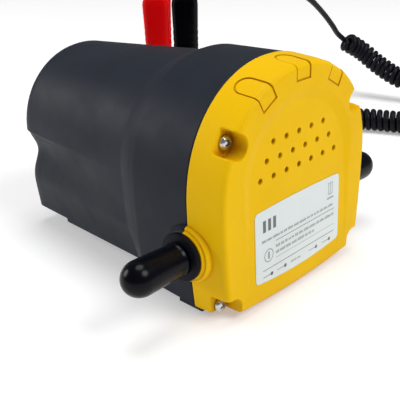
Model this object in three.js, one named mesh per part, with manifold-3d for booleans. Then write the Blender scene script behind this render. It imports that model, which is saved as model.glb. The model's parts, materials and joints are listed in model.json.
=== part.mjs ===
// A 12 V fluid transfer pump: a yellow front cover and a dark motor housing meet on one flat seam, with
// the gear pump behind the cover, a brushed motor behind it, and a curly lead that ends in two battery clips.
// Millimetres, +Z up. The cover faces -Y and the hose ports point along -X and +X.

import * as THREE from "three";
import { mergeVertices } from "three/addons/utils/BufferGeometryUtils.js";
import Module from "manifold-3d";

const manifold = await Module();
manifold.setup();

// ---------------------------------------------------------------- driving dimensions

const seamY = -59.4; // the seam plane in the part's own frame
const footHeight = 3.5; // from the table up to the bottom corners of the cover
const gap = 0.3; // between pieces that touch on the real pump

// cover outline: straight-sided below, arched above
const halfWidth = 53;
const archCentre = 51;
const archHeight = 53.4;
const archPower = 2.12; // 2 is an ellipse, more is squarer at the shoulders
const sideFlare = 3.3; // how far the sides come in towards the bottom
const chinSag = 2.9; // how far the front edge bows down at the bottom
const coverDepth = 20.2;
const faceLean = 1.2; // the face leans back by this much at the top
const coverHeight = archCentre + archHeight;
const coverWall = 2.7;

// motor housing
const shoulderY = 34; // where the wide front section ends
const rearY = 134;
const rearHalfWidth = 41.2;
const rearArchHeight = 40.5;
const neckHalfWidth = 50; // the rear section where it meets the shoulder
const neckArchHeight = 47.2;
const rearCentre = 52;
const rearBottom = 4.3;
const waistDepth = 5;
const waistZ = 40;
const creaseZ = 25; // the sides break inwards below this height
const creaseSoftness = 0.7;
const housingWall = 3;

// ports
const portZ = 28.1;
const portRingRadius = 13;
const portRingStep = 11.1;
const portBore = 8.6;
const flangeRadius = 10.9;
const spigotRadius = 5.2;
const spigotEnd = 85;
const nozzleBore = 3.9;
const capTip = 88.9;

// pump and motor
const motorZ = 48.1;
const gearTeeth = 10;
const gearModule = 2;
const shaftRadius = 3;
const canRadius = 30;
const canStart = 18.3;
const canEnd = 92;

// screws, grille and label
const upperScrew = { x: 40.4, z: 77 };
const lowerScrew = { x: 44.5, z: 3.2 };
const screwHead = { radius: 3.3, height: 2.3, shank: 1.6, length: 24 };
const pocketCentre = { x: 42, z: 77 };
const pocketRadius = 5.6;
const grillePitch = 9;
const grilleHoleRadius = 1.35;
const grilleRows = [
  { count: 5, z: 73.1 },
  { count: 6, z: 65.5 },
  { count: 7, z: 57.8 },
];
const labelHalfWidth = 31.5;
const labelBottom = 10;
const labelTop = 44.1;

// lead and clips
const cordRadius = 2.2;
const wireRadius = 1.5;
const curlRadius = 8.3;
const curlZ = -footHeight + 8.5;
const clipTurn = THREE.MathUtils.degToRad(-46);
const clipPlaces = { red: [78, 152], black: [90.3, 139.2] };

// ---------------------------------------------------------------- materials

function material(colour, roughness, metalness) {
  return new THREE.MeshStandardMaterial({ color: colour, roughness, metalness });
}

const yellowPlastic = material(0xf0c419, 0.45, 0);
const darkPlastic = material(0x3a3d45, 0.6, 0);
const labelFilm = material(0xdde3e3, 0.4, 0);
const blackRubber = material(0x141519, 0.7, 0);
const glossVinyl = material(0x0b0b0e, 0.2, 0);
const redVinyl = material(0xc80f14, 0.35, 0);
const brightSteel = material(0xc8cacd, 0.3, 1);
const darkSteel = material(0x8a8d92, 0.4, 1);
const castAluminium = material(0xb5b7ba, 0.5, 1);
const ironCore = material(0x55585d, 0.5, 1);
const copper = material(0xb87333, 0.35, 1);
const ferrite = material(0x2b2b2e, 0.8, 0);
const carbon = material(0x1c1c1e, 0.9, 0);
const cordJacket = material(0x121216, 0.45, 0);

// ---------------------------------------------------------------- solids

function solid(geometry) {
  const bare = geometry.clone();
  bare.deleteAttribute("normal");
  bare.deleteAttribute("uv");
  const merged = mergeVertices(bare, 1e-4);
  const vertProperties = new Float32Array(merged.attributes.position.array);
  const triVerts = new Uint32Array(merged.index.array);
  return new manifold.Manifold(new manifold.Mesh({ numProp: 3, vertProperties, triVerts }));
}

function geometryOf(body) {
  const data = body.getMesh();
  const geometry = new THREE.BufferGeometry();
  geometry.setAttribute("position", new THREE.BufferAttribute(new Float32Array(data.vertProperties), 3));
  geometry.setIndex(new THREE.BufferAttribute(new Uint32Array(data.triVerts), 1));
  return geometry;
}

function joined(...geometries) {
  return geometryOf(geometries.map(solid).reduce((sum, next) => sum.add(next)));
}

function cut(base, ...tools) {
  return geometryOf(tools.map(solid).reduce((left, tool) => left.subtract(tool), solid(base)));
}

function common(first, second) {
  return geometryOf(solid(first).intersect(solid(second)));
}

// Skin through sections with equal point counts, closed at both ends by fans about their middles.
function loft(sections) {
  const count = sections[0].length;
  const points = sections.flat();
  const middles = [sections[0], sections[sections.length - 1]].map((section) =>
    section.reduce((sum, point) => sum.add(point), new THREE.Vector3()).divideScalar(count));
  const faces = [];
  for (let s = 0; s + 1 < sections.length; s += 1) {
    for (let i = 0; i < count; i += 1) {
      const a = s * count + i;
      const b = s * count + ((i + 1) % count);
      faces.push(a, b, a + count, b, b + count, a + count);
    }
  }
  const first = points.length;
  const last = first + 1;
  const lastRing = (sections.length - 1) * count;
  for (let i = 0; i < count; i += 1) {
    const next = (i + 1) % count;
    faces.push(first, next, i, last, lastRing + i, lastRing + next);
  }
  const geometry = new THREE.BufferGeometry().setFromPoints([...points, ...middles]);
  geometry.setIndex(faces);
  return volumeOf(geometry) < 0 ? turnedInsideOut(geometry) : geometry;
}

function volumeOf(geometry) {
  const position = geometry.attributes.position;
  const index = geometry.index.array;
  const corners = [new THREE.Vector3(), new THREE.Vector3(), new THREE.Vector3()];
  let volume = 0;
  for (let i = 0; i < index.length; i += 3) {
    corners.forEach((corner, c) => corner.fromBufferAttribute(position, index[i + c]));
    volume += corners[0].dot(corners[1].clone().cross(corners[2])) / 6;
  }
  return volume;
}

function turnedInsideOut(geometry) {
  const index = Array.from(geometry.index.array);
  for (let i = 0; i < index.length; i += 3) {
    [index[i], index[i + 1]] = [index[i + 1], index[i]];
  }
  geometry.setIndex(index);
  return geometry;
}

// Outline in x and z, extruded along Y from y0 to y1.
function prism(outline, y0, y1) {
  const shape = new THREE.Shape(outline);
  const geometry = new THREE.ExtrudeGeometry(shape, { depth: y1 - y0, bevelEnabled: false });
  return geometry.rotateX(Math.PI / 2).translate(0, y1, 0);
}

function box(x0, x1, y0, y1, z0, z1) {
  const geometry = new THREE.BoxGeometry(x1 - x0, y1 - y0, z1 - z0);
  return geometry.translate((x0 + x1) / 2, (y0 + y1) / 2, (z0 + z1) / 2);
}

// Round bar along an axis, through the point given by the other two coordinates.
function rodAlongY(radius, y0, y1, x, z, sides = 24) {
  return new THREE.CylinderGeometry(radius, radius, y1 - y0, sides).translate(x, (y0 + y1) / 2, z);
}

function rodAlongX(radius, x0, x1, y, z, sides = 32) {
  const bar = new THREE.CylinderGeometry(radius, radius, Math.abs(x1 - x0), sides);
  return bar.rotateZ(Math.PI / 2).translate((x0 + x1) / 2, y, z);
}

function rodAlongZ(radius, z0, z1, x, y, sides = 24) {
  const bar = new THREE.CylinderGeometry(radius, radius, z1 - z0, sides);
  return bar.rotateX(Math.PI / 2).translate(x, y, (z0 + z1) / 2);
}

function polar([radius, angle]) {
  return new THREE.Vector2(radius * Math.cos(angle), radius * Math.sin(angle));
}

// Turned body from [radius, distance] pairs, with its axis on Y.
function turned(profile, sides = 32) {
  const points = profile.map(([radius, distance]) => new THREE.Vector2(radius, distance));
  const geometry = new THREE.LatheGeometry([...points, points[0]], sides);
  geometry.deleteAttribute("normal");
  geometry.deleteAttribute("uv");
  const merged = mergeVertices(geometry, 1e-4);
  return withoutSlivers(volumeOf(merged) < 0 ? turnedInsideOut(merged) : merged);
}

// Faces that collapsed onto the axis have no area and are dropped.
function withoutSlivers(geometry) {
  const index = geometry.index.array;
  const kept = [];
  for (let i = 0; i < index.length; i += 3) {
    const [a, b, c] = [index[i], index[i + 1], index[i + 2]];
    if (a !== b && b !== c && c !== a) {
      kept.push(a, b, c);
    }
  }
  geometry.setIndex(kept);
  return geometry;
}

// Tube of `sides` faces along a smooth curve through the points.
function tube(points, radius, sides, steps) {
  const curve = new THREE.CatmullRomCurve3(points.map((point) => new THREE.Vector3(...point)));
  const section = new THREE.Shape();
  for (let i = 0; i < sides; i += 1) {
    const angle = (2 * Math.PI * i) / sides;
    const move = i === 0 ? "moveTo" : "lineTo";
    section[move](radius * Math.cos(angle), radius * Math.sin(angle));
  }
  return new THREE.ExtrudeGeometry(section, { steps, bevelEnabled: false, extrudePath: curve });
}

// ---------------------------------------------------------------- outlines

const archSteps = 26;
const sideSteps = 6;
const bottomSteps = 6;

// Closed outline with an arch, two sides that follow sideX(z), and a bottom edge that may bow down.
function archedOutline({ width, centre, height, power, bottom, sideX, sag = 0 }) {
  const outline = [];
  for (let i = 0; i <= archSteps; i += 1) {
    const angle = (Math.PI * i) / archSteps;
    const x = Math.sign(Math.cos(angle)) * Math.abs(Math.cos(angle)) ** (2 / power) * width;
    outline.push([i === archSteps / 2 ? 0 : x, centre + Math.abs(Math.sin(angle)) ** (2 / power) * height]);
  }
  const side = [];
  for (let j = 1; j <= sideSteps; j += 1) {
    const z = centre + ((bottom - centre) * j) / sideSteps;
    side.push([sideX(z), z]);
  }
  const foot = side[sideSteps - 1][0];
  side.forEach(([x, z]) => outline.push([-x, z]));
  for (let k = 1; k < bottomSteps; k += 1) {
    const x = foot * ((2 * k) / bottomSteps - 1);
    outline.push([x, bottom - sag * (1 - (x / foot) ** 2)]);
  }
  side.reverse().forEach((point) => outline.push(point));
  return outline;
}

function coverOutline(inset, sag = 0) {
  return archedOutline({
    width: halfWidth - inset,
    centre: archCentre,
    height: archHeight - inset,
    power: archPower,
    bottom: inset,
    sideX: (z) => halfWidth - inset - sideFlare * ((archCentre - z) / archCentre) ** 2,
    sag,
  });
}

// Rear section of the housing: plain at the shoulder, waisted and narrower at the back.
function rearOutline(y, inset) {
  const t = THREE.MathUtils.clamp((y - shoulderY - 4) / (rearY - shoulderY - 4), 0, 1);
  const mix = (front, back) => THREE.MathUtils.lerp(front, back, t);
  const width = mix(neckHalfWidth, rearHalfWidth) - inset;
  const waist = waistDepth * THREE.MathUtils.smoothstep(t, 0.05, 1);
  const sideX = (z) => {
    const low = Math.max(0, (rearCentre - z) / (rearCentre - creaseZ));
    const belowCrease = Math.log(1 + Math.exp((creaseZ - z) / creaseSoftness)) * creaseSoftness;
    const pinch = waist * Math.exp(-(((z - waistZ) / 9) ** 2));
    return width - mix(1.8, 0.9) * low ** 1.3 - mix(0.228, 0.068) * belowCrease - pinch;
  };
  return archedOutline({
    width,
    centre: rearCentre,
    height: mix(neckArchHeight, rearArchHeight) - inset,
    power: mix(archPower, 2.05),
    bottom: rearBottom + inset,
    sideX,
  });
}

function section(outline, yAt) {
  return outline.map(([x, z]) => new THREE.Vector3(x, typeof yAt === "function" ? yAt(z) : yAt, z));
}

// ---------------------------------------------------------------- front cover

function faceY(z) {
  return -coverDepth + (faceLean * z) / coverHeight;
}

// The inner panel is flush with the face at its foot and sinks towards the top.
const panelSink = 2;
const panelFoot = 6;
const panelTop = 90;

function panelY(z) {
  return faceY(z) + (panelSink * Math.max(0, z - panelFoot)) / (panelTop - panelFoot);
}

function coverSolid(skin) {
  return loft([
    section(coverOutline(skin, 0), 0),
    section(coverOutline(0.6 + skin, chinSag / 2), -coverDepth / 2),
    section(coverOutline(1.2 + skin, chinSag), (z) => faceY(z) + 3 + skin),
    section(coverOutline(1.6 + skin, chinSag), (z) => faceY(z) + 1.4 + skin),
    section(coverOutline(2.3 + skin, chinSag), (z) => faceY(z) + 0.4 + skin),
    section(coverOutline(3.4 + skin, chinSag), (z) => faceY(z) + skin),
  ]);
}

function coverCavity() {
  return loft([
    section(coverOutline(coverWall), 1),
    section(coverOutline(coverWall + 0.6), -coverDepth / 2),
    section(coverOutline(coverWall + 1.6), (z) => faceY(z) + 3),
  ]);
}

function panelOutline(radius, halfSpan) {
  const outline = [];
  const lift = 0.2;
  const steps = 18;
  const start = Math.acos(halfSpan / radius);
  for (let i = 0; i <= steps; i += 1) {
    const angle = start + ((Math.PI - 2 * start) * i) / steps;
    outline.push([radius * Math.cos(angle), archCentre + lift + radius * Math.sin(angle)]);
  }
  outline.push([-halfSpan, panelFoot], [halfSpan, panelFoot]);
  return outline;
}

function panelCutter() {
  const outer = panelOutline(41, 39.5);
  const inner = panelOutline(35.5, 35);
  return loft([
    section(outer, -coverDepth - 2),
    section(outer, (z) => faceY(z) - 0.01),
    section(inner, (z) => panelY(z) + 0.02),
  ]);
}

// Shallow finger pad that wraps from the face over the edge onto the arch, at `angle` from straight up.
function padCutter(angle) {
  const halfPad = 5.1;
  const innerRadius = 44.4;
  const backEnd = -4.6;
  const slot = joined(
    box(-halfPad, halfPad, -coverDepth - 2, backEnd - halfPad, innerRadius, 70),
    rodAlongZ(halfPad, innerRadius, 70, 0, backEnd - halfPad));
  slot.rotateY(angle).translate(0, 0, archCentre + 0.2);
  return cut(slot, coverSolid(0.8));
}

// Slot for an upper screw: round inner end, open along the radius of the arch.
function upperPocket(side, radius, y0, y1) {
  const turn = side * THREE.MathUtils.degToRad(58);
  const slot = joined(
    rodAlongY(radius, y0, y1, 0, 0),
    box(-radius, radius, y0, y1, 0, 30));
  return slot.rotateY(turn).translate(side * pocketCentre.x, 0, pocketCentre.z);
}

// Corner notch for a lower screw: open to the side and to the bottom.
function lowerPocket(side, margin, y0, y1) {
  const inner = 40.8 - margin;
  const ceiling = 9.5 + margin;
  const round = 4.5;
  const outline = [[60, -10], [60, ceiling], [inner + round, ceiling]];
  const steps = 5;
  for (let i = 1; i <= steps; i += 1) {
    const angle = (Math.PI / 2) * (1 + i / steps);
    outline.push([inner + round + round * Math.cos(angle), ceiling - round + round * Math.sin(angle)]);
  }
  outline.push([inner, -10]);
  return prism(outline.map(([x, z]) => new THREE.Vector2(side * x, z)), y0, y1);
}

const seatDepth = 10; // pocket floors, measured forward from the seam

function grilleHoles() {
  const holes = [];
  for (const { count, z } of grilleRows) {
    for (let i = 0; i < count; i += 1) {
      const x = (i - (count - 1) / 2) * grillePitch;
      holes.push(rodAlongY(grilleHoleRadius, -coverDepth - 2, -coverDepth + 8, x, z, 8));
    }
  }
  return holes;
}

// The stepped ring round a port, as the half on one side of the seam.
function portRing(side, y0, y1) {
  const ring = joined(
    rodAlongX(portRingRadius, side * 48.5, side * 54.5, 0, portZ, 28),
    rodAlongX(portRingStep, side * 48.5, side * 55.7, 0, portZ, 28));
  return common(ring, box(-60, 60, y0, y1, 0, 60));
}

function frontCover() {
  const outer = coverSolid(0);
  const blocks = [];
  const holes = [coverCavity()];
  const pockets = [];
  for (const side of [-1, 1]) {
    blocks.push(
      common(outer, upperPocket(side, pocketRadius + 2.4, -coverDepth - 1, 0)),
      common(outer, lowerPocket(side, 2.4, -coverDepth - 1, 0)),
      portRing(side, -20, 0));
    pockets.push(
      upperPocket(side, pocketRadius, -coverDepth - 2, -seatDepth),
      lowerPocket(side, 0, -coverDepth - 2, -seatDepth),
      rodAlongY(1.9, -seatDepth - 1, 1, side * upperScrew.x, upperScrew.z, 16),
      rodAlongY(1.9, -seatDepth - 1, 1, side * lowerScrew.x, lowerScrew.z, 16),
      rodAlongX(portBore, side * 40, side * 60, 0, portZ, 24));
  }
  const shell = joined(cut(outer, ...holes), ...blocks);
  const pads = [-1, 0, 1].map((place) => padCutter(THREE.MathUtils.degToRad(30 * place)));
  return cut(shell, panelCutter(), ...pads, ...pockets, ...grilleHoles());
}

function infoLabel() {
  const bow = { top: 0.6, bottom: 1.8 };
  const corner = 2.5;
  const outline = [];
  const steps = 6;
  const edge = labelHalfWidth - corner;
  const rounded = (x, z, from) => {
    for (let i = 0; i <= steps; i += 1) {
      const angle = from + ((Math.PI / 2) * i) / steps;
      outline.push([x + corner * Math.cos(angle), z + corner * Math.sin(angle)]);
    }
  };
  rounded(edge, labelTop - corner, 0);
  for (let i = 1; i < steps * 2; i += 1) {
    const x = edge * (1 - i / steps);
    outline.push([x, labelTop + bow.top * (1 - (x / edge) ** 2)]);
  }
  rounded(-edge, labelTop - corner, Math.PI / 2);
  rounded(-edge, labelBottom + corner, Math.PI);
  for (let i = 1; i < steps * 2; i += 1) {
    const x = -edge * (1 - i / steps);
    outline.push([x, labelBottom - bow.bottom * (1 - (x / edge) ** 2)]);
  }
  rounded(edge, labelBottom + corner, (3 * Math.PI) / 2);
  const clearance = 0.1;
  const thickness = 0.25;
  return loft([
    section(outline, (z) => panelY(z) - clearance),
    section(outline, (z) => panelY(z) - clearance - thickness),
  ]);
}

// Pan head screw along +Y: its seat is at y = 0 and its shank runs to `length`.
function panScrew(headRadius, headHeight, shankRadius, length, sides = 12) {
  const blank = turned([
    [0, -headHeight],
    [headRadius * 0.8, -headHeight * 0.8],
    [headRadius, 0],
    [shankRadius, 0],
    [shankRadius, length],
    [0, length],
  ], sides);
  const slot = headRadius * 0.62;
  const wide = headRadius * 0.13;
  const depth = headHeight * 0.6;
  return cut(blank,
    box(-slot, slot, -headHeight - 1, depth - headHeight, -wide, wide),
    box(-wide, wide, -headHeight - 1, depth - headHeight, -slot, slot));
}

// ---------------------------------------------------------------- motor housing

function housingOuter() {
  const neck = shoulderY + 11;
  const sections = [
    section(coverOutline(0.15), gap),
    section(coverOutline(0.8), shoulderY - 2),
    section(coverOutline(1.2), shoulderY),
  ];
  for (const y of [neck, 64, 84, 104, 120]) {
    sections.push(section(rearOutline(y, 0), y));
  }
  sections.push(
    section(rearOutline(rearY, 0.1), rearY - 3),
    section(rearOutline(rearY, 0.9), rearY - 1),
    section(rearOutline(rearY, 2.6), rearY));
  return loft(sections);
}

function housingCavity() {
  const sections = [
    section(coverOutline(housingWall + 0.15), -1),
    section(coverOutline(housingWall + 1), shoulderY - 4),
  ];
  for (const y of [44, 72, 100, rearY - housingWall]) {
    sections.push(section(rearOutline(y, housingWall), y));
  }
  return loft(sections);
}

// Thin foot along a bottom corner of the housing, which reaches a little way under the cover.
function cornerStrip(side) {
  const across = [side * 40, side * 49.2].sort((a, b) => a - b);
  const drop = 1.2;
  const back = 10;
  return joined(
    box(...across, -4, back, -drop, -gap),
    box(...across, gap, back, -drop, 1.5));
}

function motorHousing() {
  const outer = housingOuter();
  const bosses = [];
  const holes = [];
  for (const side of [-1, 1]) {
    for (const screw of [upperScrew, lowerScrew]) {
      bosses.push(common(outer, rodAlongY(5, gap, 26, side * screw.x, screw.z)));
      holes.push(rodAlongY(1.8, -1, 20, side * screw.x, screw.z, 12));
    }
    bosses.push(portRing(side, gap, 20), cornerStrip(side));
    holes.push(rodAlongX(portBore, side * 40, side * 60, 0, portZ, 24));
  }
  const canSeat = rodAlongY(canRadius + gap, 0, rearY, 0, motorZ, 32);
  const cradles = [40, 76].map((y) => cut(common(outer, box(-60, 60, y, y + 3, 0, motorZ - 8)), canSeat));
  const shell = joined(cut(outer, housingCavity()), ...bosses, ...cradles);
  return cut(shell,
    ...holes,
    box(-60, 60, 106, 140, 0, rearBottom + 2.3),
    box(-6.8, 6.8, rearY - 6, rearY + 2, 56, 76),
    rodAlongY(5.4, rearY - 6, rearY + 2, 0, glandZ),
    ...footPlaces.map(({ x, y }) => rodAlongZ(2.7, -1, 14, x, y, 16)));
}

const glandZ = 22;
const footPlaces = [
  { name: "foot_front_left", x: -34, y: 18, top: 0 },
  { name: "foot_front_right", x: 34, y: 18, top: 0 },
  { name: "foot_rear_left", x: -25, y: 98, top: rearBottom },
  { name: "foot_rear_right", x: 25, y: 98, top: rearBottom },
];

function rubberFoot(top) {
  return turned([
    [0, -footHeight],
    [6, -footHeight],
    [6, top - gap],
    [2.3, top - gap],
    [2.3, top + housingWall + 1],
    [3.4, top + housingWall + 1],
    [2.2, top + housingWall + 3],
    [0, top + housingWall + 3],
  ], 16).rotateX(Math.PI / 2);
}

// ---------------------------------------------------------------- gear pump

const gearCentres = gearTeeth * gearModule;
const idlerZ = motorZ - gearCentres;
const chamberFront = -8;
const chamberBack = 4;
const bodyBack = 13;

// Involute outline with stub teeth; `phase` turns it, and backlash keeps the pair free.
function gearOutline(phase) {
  const pitch = gearCentres / 2;
  const pressure = THREE.MathUtils.degToRad(25);
  const base = pitch * Math.cos(pressure);
  const tip = pitch + 0.78 * gearModule;
  const root = pitch - gearModule;
  const backlash = 0.45;
  const involute = (radius) => {
    const spread = Math.sqrt(Math.max(0, (radius / base) ** 2 - 1));
    return spread - Math.atan(spread);
  };
  const halfTooth = (Math.PI * gearModule) / 4 / pitch - backlash / 2 / pitch;
  const flank = (radius) => halfTooth + involute(pitch) - involute(radius);
  const radii = [root, base, base + (tip - base) * 0.4, base + (tip - base) * 0.7, tip];
  const outline = [];
  for (let tooth = 0; tooth < gearTeeth; tooth += 1) {
    const middle = phase + (2 * Math.PI * tooth) / gearTeeth;
    radii.forEach((radius) => outline.push([radius, middle - flank(radius)]));
    [...radii].reverse().forEach((radius) => outline.push([radius, middle + flank(radius)]));
  }
  return outline.map(polar);
}

function gear(z, phase, bore) {
  const blank = prism(gearOutline(phase), chamberFront + gap, chamberBack - gap).translate(0, 0, z);
  return cut(blank, rodAlongY(bore, chamberFront - 1, chamberBack + 1, 0, z));
}

function chamber(y0, y1) {
  const wide = gearCentres / 2 + 0.78 * gearModule + gap;
  return joined(
    rodAlongY(wide, y0, y1, 0, motorZ, 28),
    rodAlongY(wide, y0, y1, 0, idlerZ, 28),
    box(-15, 15, y0, y1, idlerZ - 3, motorZ - 4));
}

function pumpBody() {
  const rimmed = joined(
    rodAlongY(19, chamberFront, bodyBack, 0, motorZ, 24),
    rodAlongY(19, chamberFront, bodyBack, 0, idlerZ, 24),
    box(-21, 21, chamberFront, bodyBack, idlerZ - 9, motorZ + 8),
    box(-43, 43, chamberFront, 9, portZ - 9.3, portZ + 9.3));
  return cut(rimmed,
    chamber(chamberFront - 1, chamberBack),
    rodAlongX(7.3, -44, -14, 0, portZ),
    rodAlongX(7.3, 14, 44, 0, portZ),
    rodAlongY(shaftRadius + gap, 0, 20, 0, motorZ),
    rodAlongY(7.3, 7, 20, 0, motorZ),
    rodAlongY(3.3, 0, 10, 0, idlerZ),
    ...plateScrewPlaces.map(([x, z]) => rodAlongY(1.6, chamberFront - 1, 6, x, z, 12)));
}

const plateScrewPlaces = [
  [-17.6, motorZ + 4.5],
  [17.6, motorZ + 4.5],
  [-24, idlerZ + 5],
  [24, idlerZ + 5],
];

function plateBlank(y0, y1) {
  return joined(
    rodAlongY(19, y0, y1, 0, motorZ, 24),
    rodAlongY(19, y0, y1, 0, idlerZ, 24),
    box(-21, 21, y0, y1, idlerZ - 9, motorZ + 8),
    box(-28, 28, y0, y1, idlerZ - 1, idlerZ + 9));
}

function plateHoles() {
  return plateScrewPlaces.map(([x, z]) => rodAlongY(1.9, -30, 10, x, z, 12));
}

function portNozzle(side) {
  const barbs = [];
  for (const start of [63, 74]) {
    barbs.push([spigotRadius + 0.5, start], [spigotRadius, start + 8]);
  }
  const profile = [
    [nozzleBore, 36],
    [7, 36],
    [7, 43 + gap],
    [8.2, 43 + gap],
    [8.2, 56],
    [flangeRadius - 0.5, 56],
    [flangeRadius, 56.5],
    [flangeRadius, 57.8],
    [flangeRadius - 0.8, 58.4],
    [spigotRadius, 58.4],
    ...barbs,
    [spigotRadius, spigotEnd - 1.5],
    [spigotRadius - 0.7, spigotEnd],
    [nozzleBore, spigotEnd],
  ];
  return turned(profile, 20).rotateZ((-side * Math.PI) / 2).translate(0, 0, portZ);
}

function portCap(side) {
  const open = 58.8;
  const dome = 8.4;
  const widest = capTip - dome;
  const profile = [[0, capTip]];
  const steps = 6;
  for (let i = 1; i <= steps; i += 1) {
    const angle = (Math.PI / 2) * (i / steps);
    profile.push([7.9 * Math.sin(angle), widest + dome * Math.cos(angle)]);
  }
  profile.push([7.1, open + 0.5], [6.8, open], [6.1, open]);
  profile.push([6.4, widest], [4.6, capTip - 2.6], [0, capTip - 1.9]);
  return turned(profile, 20).rotateZ((-side * Math.PI) / 2).translate(0, 0, portZ);
}

// ---------------------------------------------------------------- motor

const bearingRadius = 8;
const rearBearingY = 93.5;
const commutatorRadius = 9;

function bell(y0, y1, bearing0, bearing1) {
  return cut(rodAlongY(canRadius, y0, y1, 0, motorZ, 32),
    rodAlongY(bearingRadius + gap, bearing0, bearing1, 0, motorZ),
    rodAlongY(shaftRadius + 1, y0 - 1, y1 + 1, 0, motorZ));
}

function ring(outer, inner, y0, y1, sides = 24) {
  return turned([[inner, y0], [outer, y0], [outer, y1], [inner, y1]], sides).translate(0, 0, motorZ);
}

// A brush, or the channel it slides in, on one side of the commutator.
function brushBlock(side, near, far, margin) {
  const x0 = side > 0 ? near : -far;
  const x1 = side > 0 ? far : -near;
  const half = 2.5 + margin;
  return box(x0, x1, 77 - margin, 83 + margin, motorZ - half, motorZ + half);
}

function rearBell() {
  const holders = [-1, 1].map((side) => {
    const near = side * 12;
    const far = side * 24;
    return box(Math.min(near, far), Math.max(near, far), 75, canEnd + 1, motorZ - 4.5, motorZ + 4.5);
  });
  const channels = [-1, 1].map((side) => brushBlock(side, 8, 22, gap));
  const disc = bell(canEnd + gap, 99, rearBearingY, 99.5);
  return cut(joined(disc, ...holders), ...channels);
}

function slottedCore() {
  const slots = 12;
  const outline = [];
  for (let slot = 0; slot < slots; slot += 1) {
    const middle = (2 * Math.PI * slot) / slots;
    for (const [radius, turn] of [[21, -0.19], [21, 0.19], [19.6, 0.2], [13, 0.13]]) {
      outline.push([radius, middle + turn]);
    }
    outline.push([13, middle + (2 * Math.PI) / slots - 0.13], [19.6, middle + (2 * Math.PI) / slots - 0.2]);
  }
  const blank = prism(outline.map(polar), 34, 66).translate(0, 0, motorZ);
  return cut(blank, rodAlongY(shaftRadius + gap, 30, 70, 0, motorZ));
}

function winding() {
  const ends = [ring(18.5, 8, 27, 34 - gap, 24), ring(18.5, 9.6, 66 + gap, 72, 24)];
  const bars = [];
  for (let slot = 0; slot < 12; slot += 1) {
    const angle = (2 * Math.PI * (slot + 0.5)) / 12;
    bars.push(rodAlongY(1.1, 30, 69, 15.3 * Math.cos(angle), motorZ + 15.3 * Math.sin(angle), 6));
  }
  return joined(...ends, ...bars);
}

function magnet(side) {
  const outer = 28;
  const inner = 22.5;
  const span = THREE.MathUtils.degToRad(56);
  const steps = 10;
  const outline = [];
  for (let i = 0; i <= steps; i += 1) {
    const angle = -span + (2 * span * i) / steps;
    outline.push([outer * Math.cos(angle), outer * Math.sin(angle)]);
  }
  for (let i = steps; i >= 0; i -= 1) {
    const angle = -span + (2 * span * i) / steps;
    outline.push([inner * Math.cos(angle), inner * Math.sin(angle)]);
  }
  return prism(outline.map(([x, z]) => new THREE.Vector2(side * x, z)), 30, 70).translate(0, 0, motorZ);
}

// ---------------------------------------------------------------- switch and gland

const switchZ = 66;
const rockerPivotY = rearY + 0.5;

function switchBody() {
  const bezel = box(-8.2, 8.2, rearY + gap, rearY + 2.3, switchZ - 11.5, switchZ + 11.5);
  const barrel = box(-6.4, 6.4, rearY - 16, rearY + 1, switchZ - 9.6, switchZ + 9.6);
  const well = box(-5.2, 5.2, rearY - 6, rearY + 4, switchZ - 8.4, switchZ + 8.4);
  const contacts = [-5, 0, 5].map((height) => {
    const z = switchZ + height;
    return box(-0.4, 0.4, rearY - 22, rearY - 15, z - 1.6, z + 1.6);
  });
  return cut(joined(bezel, barrel, ...contacts), well);
}

// Shallow V rocker about an axis along X, drawn level.
function switchRocker() {
  const half = 7.9;
  const outline = [
    [-half, 0.5],
    [-half, 3.6],
    [0, 1.9],
    [half, 3.6],
    [half, 0.5],
    [3, -3.4],
    [-3, -3.4],
  ];
  const shape = new THREE.Shape(outline.map(([z, y]) => new THREE.Vector2(y, z)));
  const blank = new THREE.ExtrudeGeometry(shape, { depth: 9.6, bevelEnabled: false });
  return blank.translate(0, 0, -4.8).rotateY(-Math.PI / 2).rotateX(-Math.PI / 2);
}

function cableGland() {
  return turned([
    [cordRadius + gap, -6],
    [4.9, -6],
    [4.9, gap],
    [7.6, gap],
    [7.6, 2.6],
    [5.6, 3.2],
    [5.2, 6],
    [4.2, 14],
    [3.5, 22],
    [cordRadius + gap, 22],
  ], 16).translate(0, rearY, glandZ);
}

// ---------------------------------------------------------------- lead

const tailPoints = [
  [0, rearY + 4, glandZ],
  [0, rearY + 22, glandZ],
  [0.5, rearY + 31, glandZ - 2],
  [3, rearY + 41, glandZ - 9],
  [8, rearY + 49, glandZ - 16],
  [15, rearY + 54, glandZ - 17.5],
  [23, rearY + 53, glandZ - 17.5],
  [29.5, rearY + 49.8, glandZ - 17.5],
];

const curlPoints = [
  [30, 183.5, curlZ],
  [44, 177, curlZ],
  [62, 167, curlZ],
  [78, 152, curlZ],
  [90.3, 139.2, curlZ],
  [106, 124, curlZ],
  [128, 111, curlZ],
  [155, 106, curlZ],
  [182, 101.5, curlZ],
  [203, 93, curlZ],
  [216, 77, curlZ],
  [226, 53, curlZ],
  [236, 27, curlZ],
  [251, 3, curlZ],
  [276, -9, curlZ],
  [300, -1, curlZ],
  [313, 20, curlZ],
  [315, 47, curlZ + 1],
  [309, 73, curlZ + 4],
  [300, 96, curlZ + 11],
  [297, 115, curlZ + 20],
  [293, 131, curlZ + 31],
  [281.6, 139.8, curlZ + 39.8],
];

const leadPoints = [
  [279.6, 140.4, 46.6],
  [270, 140.5, 53],
  [256, 137, 62.5],
  [235, 134, 77],
  [214, 131, 89],
  [192, 131, 99.5],
  [172, 133, 108],
  [154.3, 136, 115.6],
];

const splitterStart = [154, 136.1, 115.7];
const splitterEnd = [132, 140.5, 124];

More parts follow.
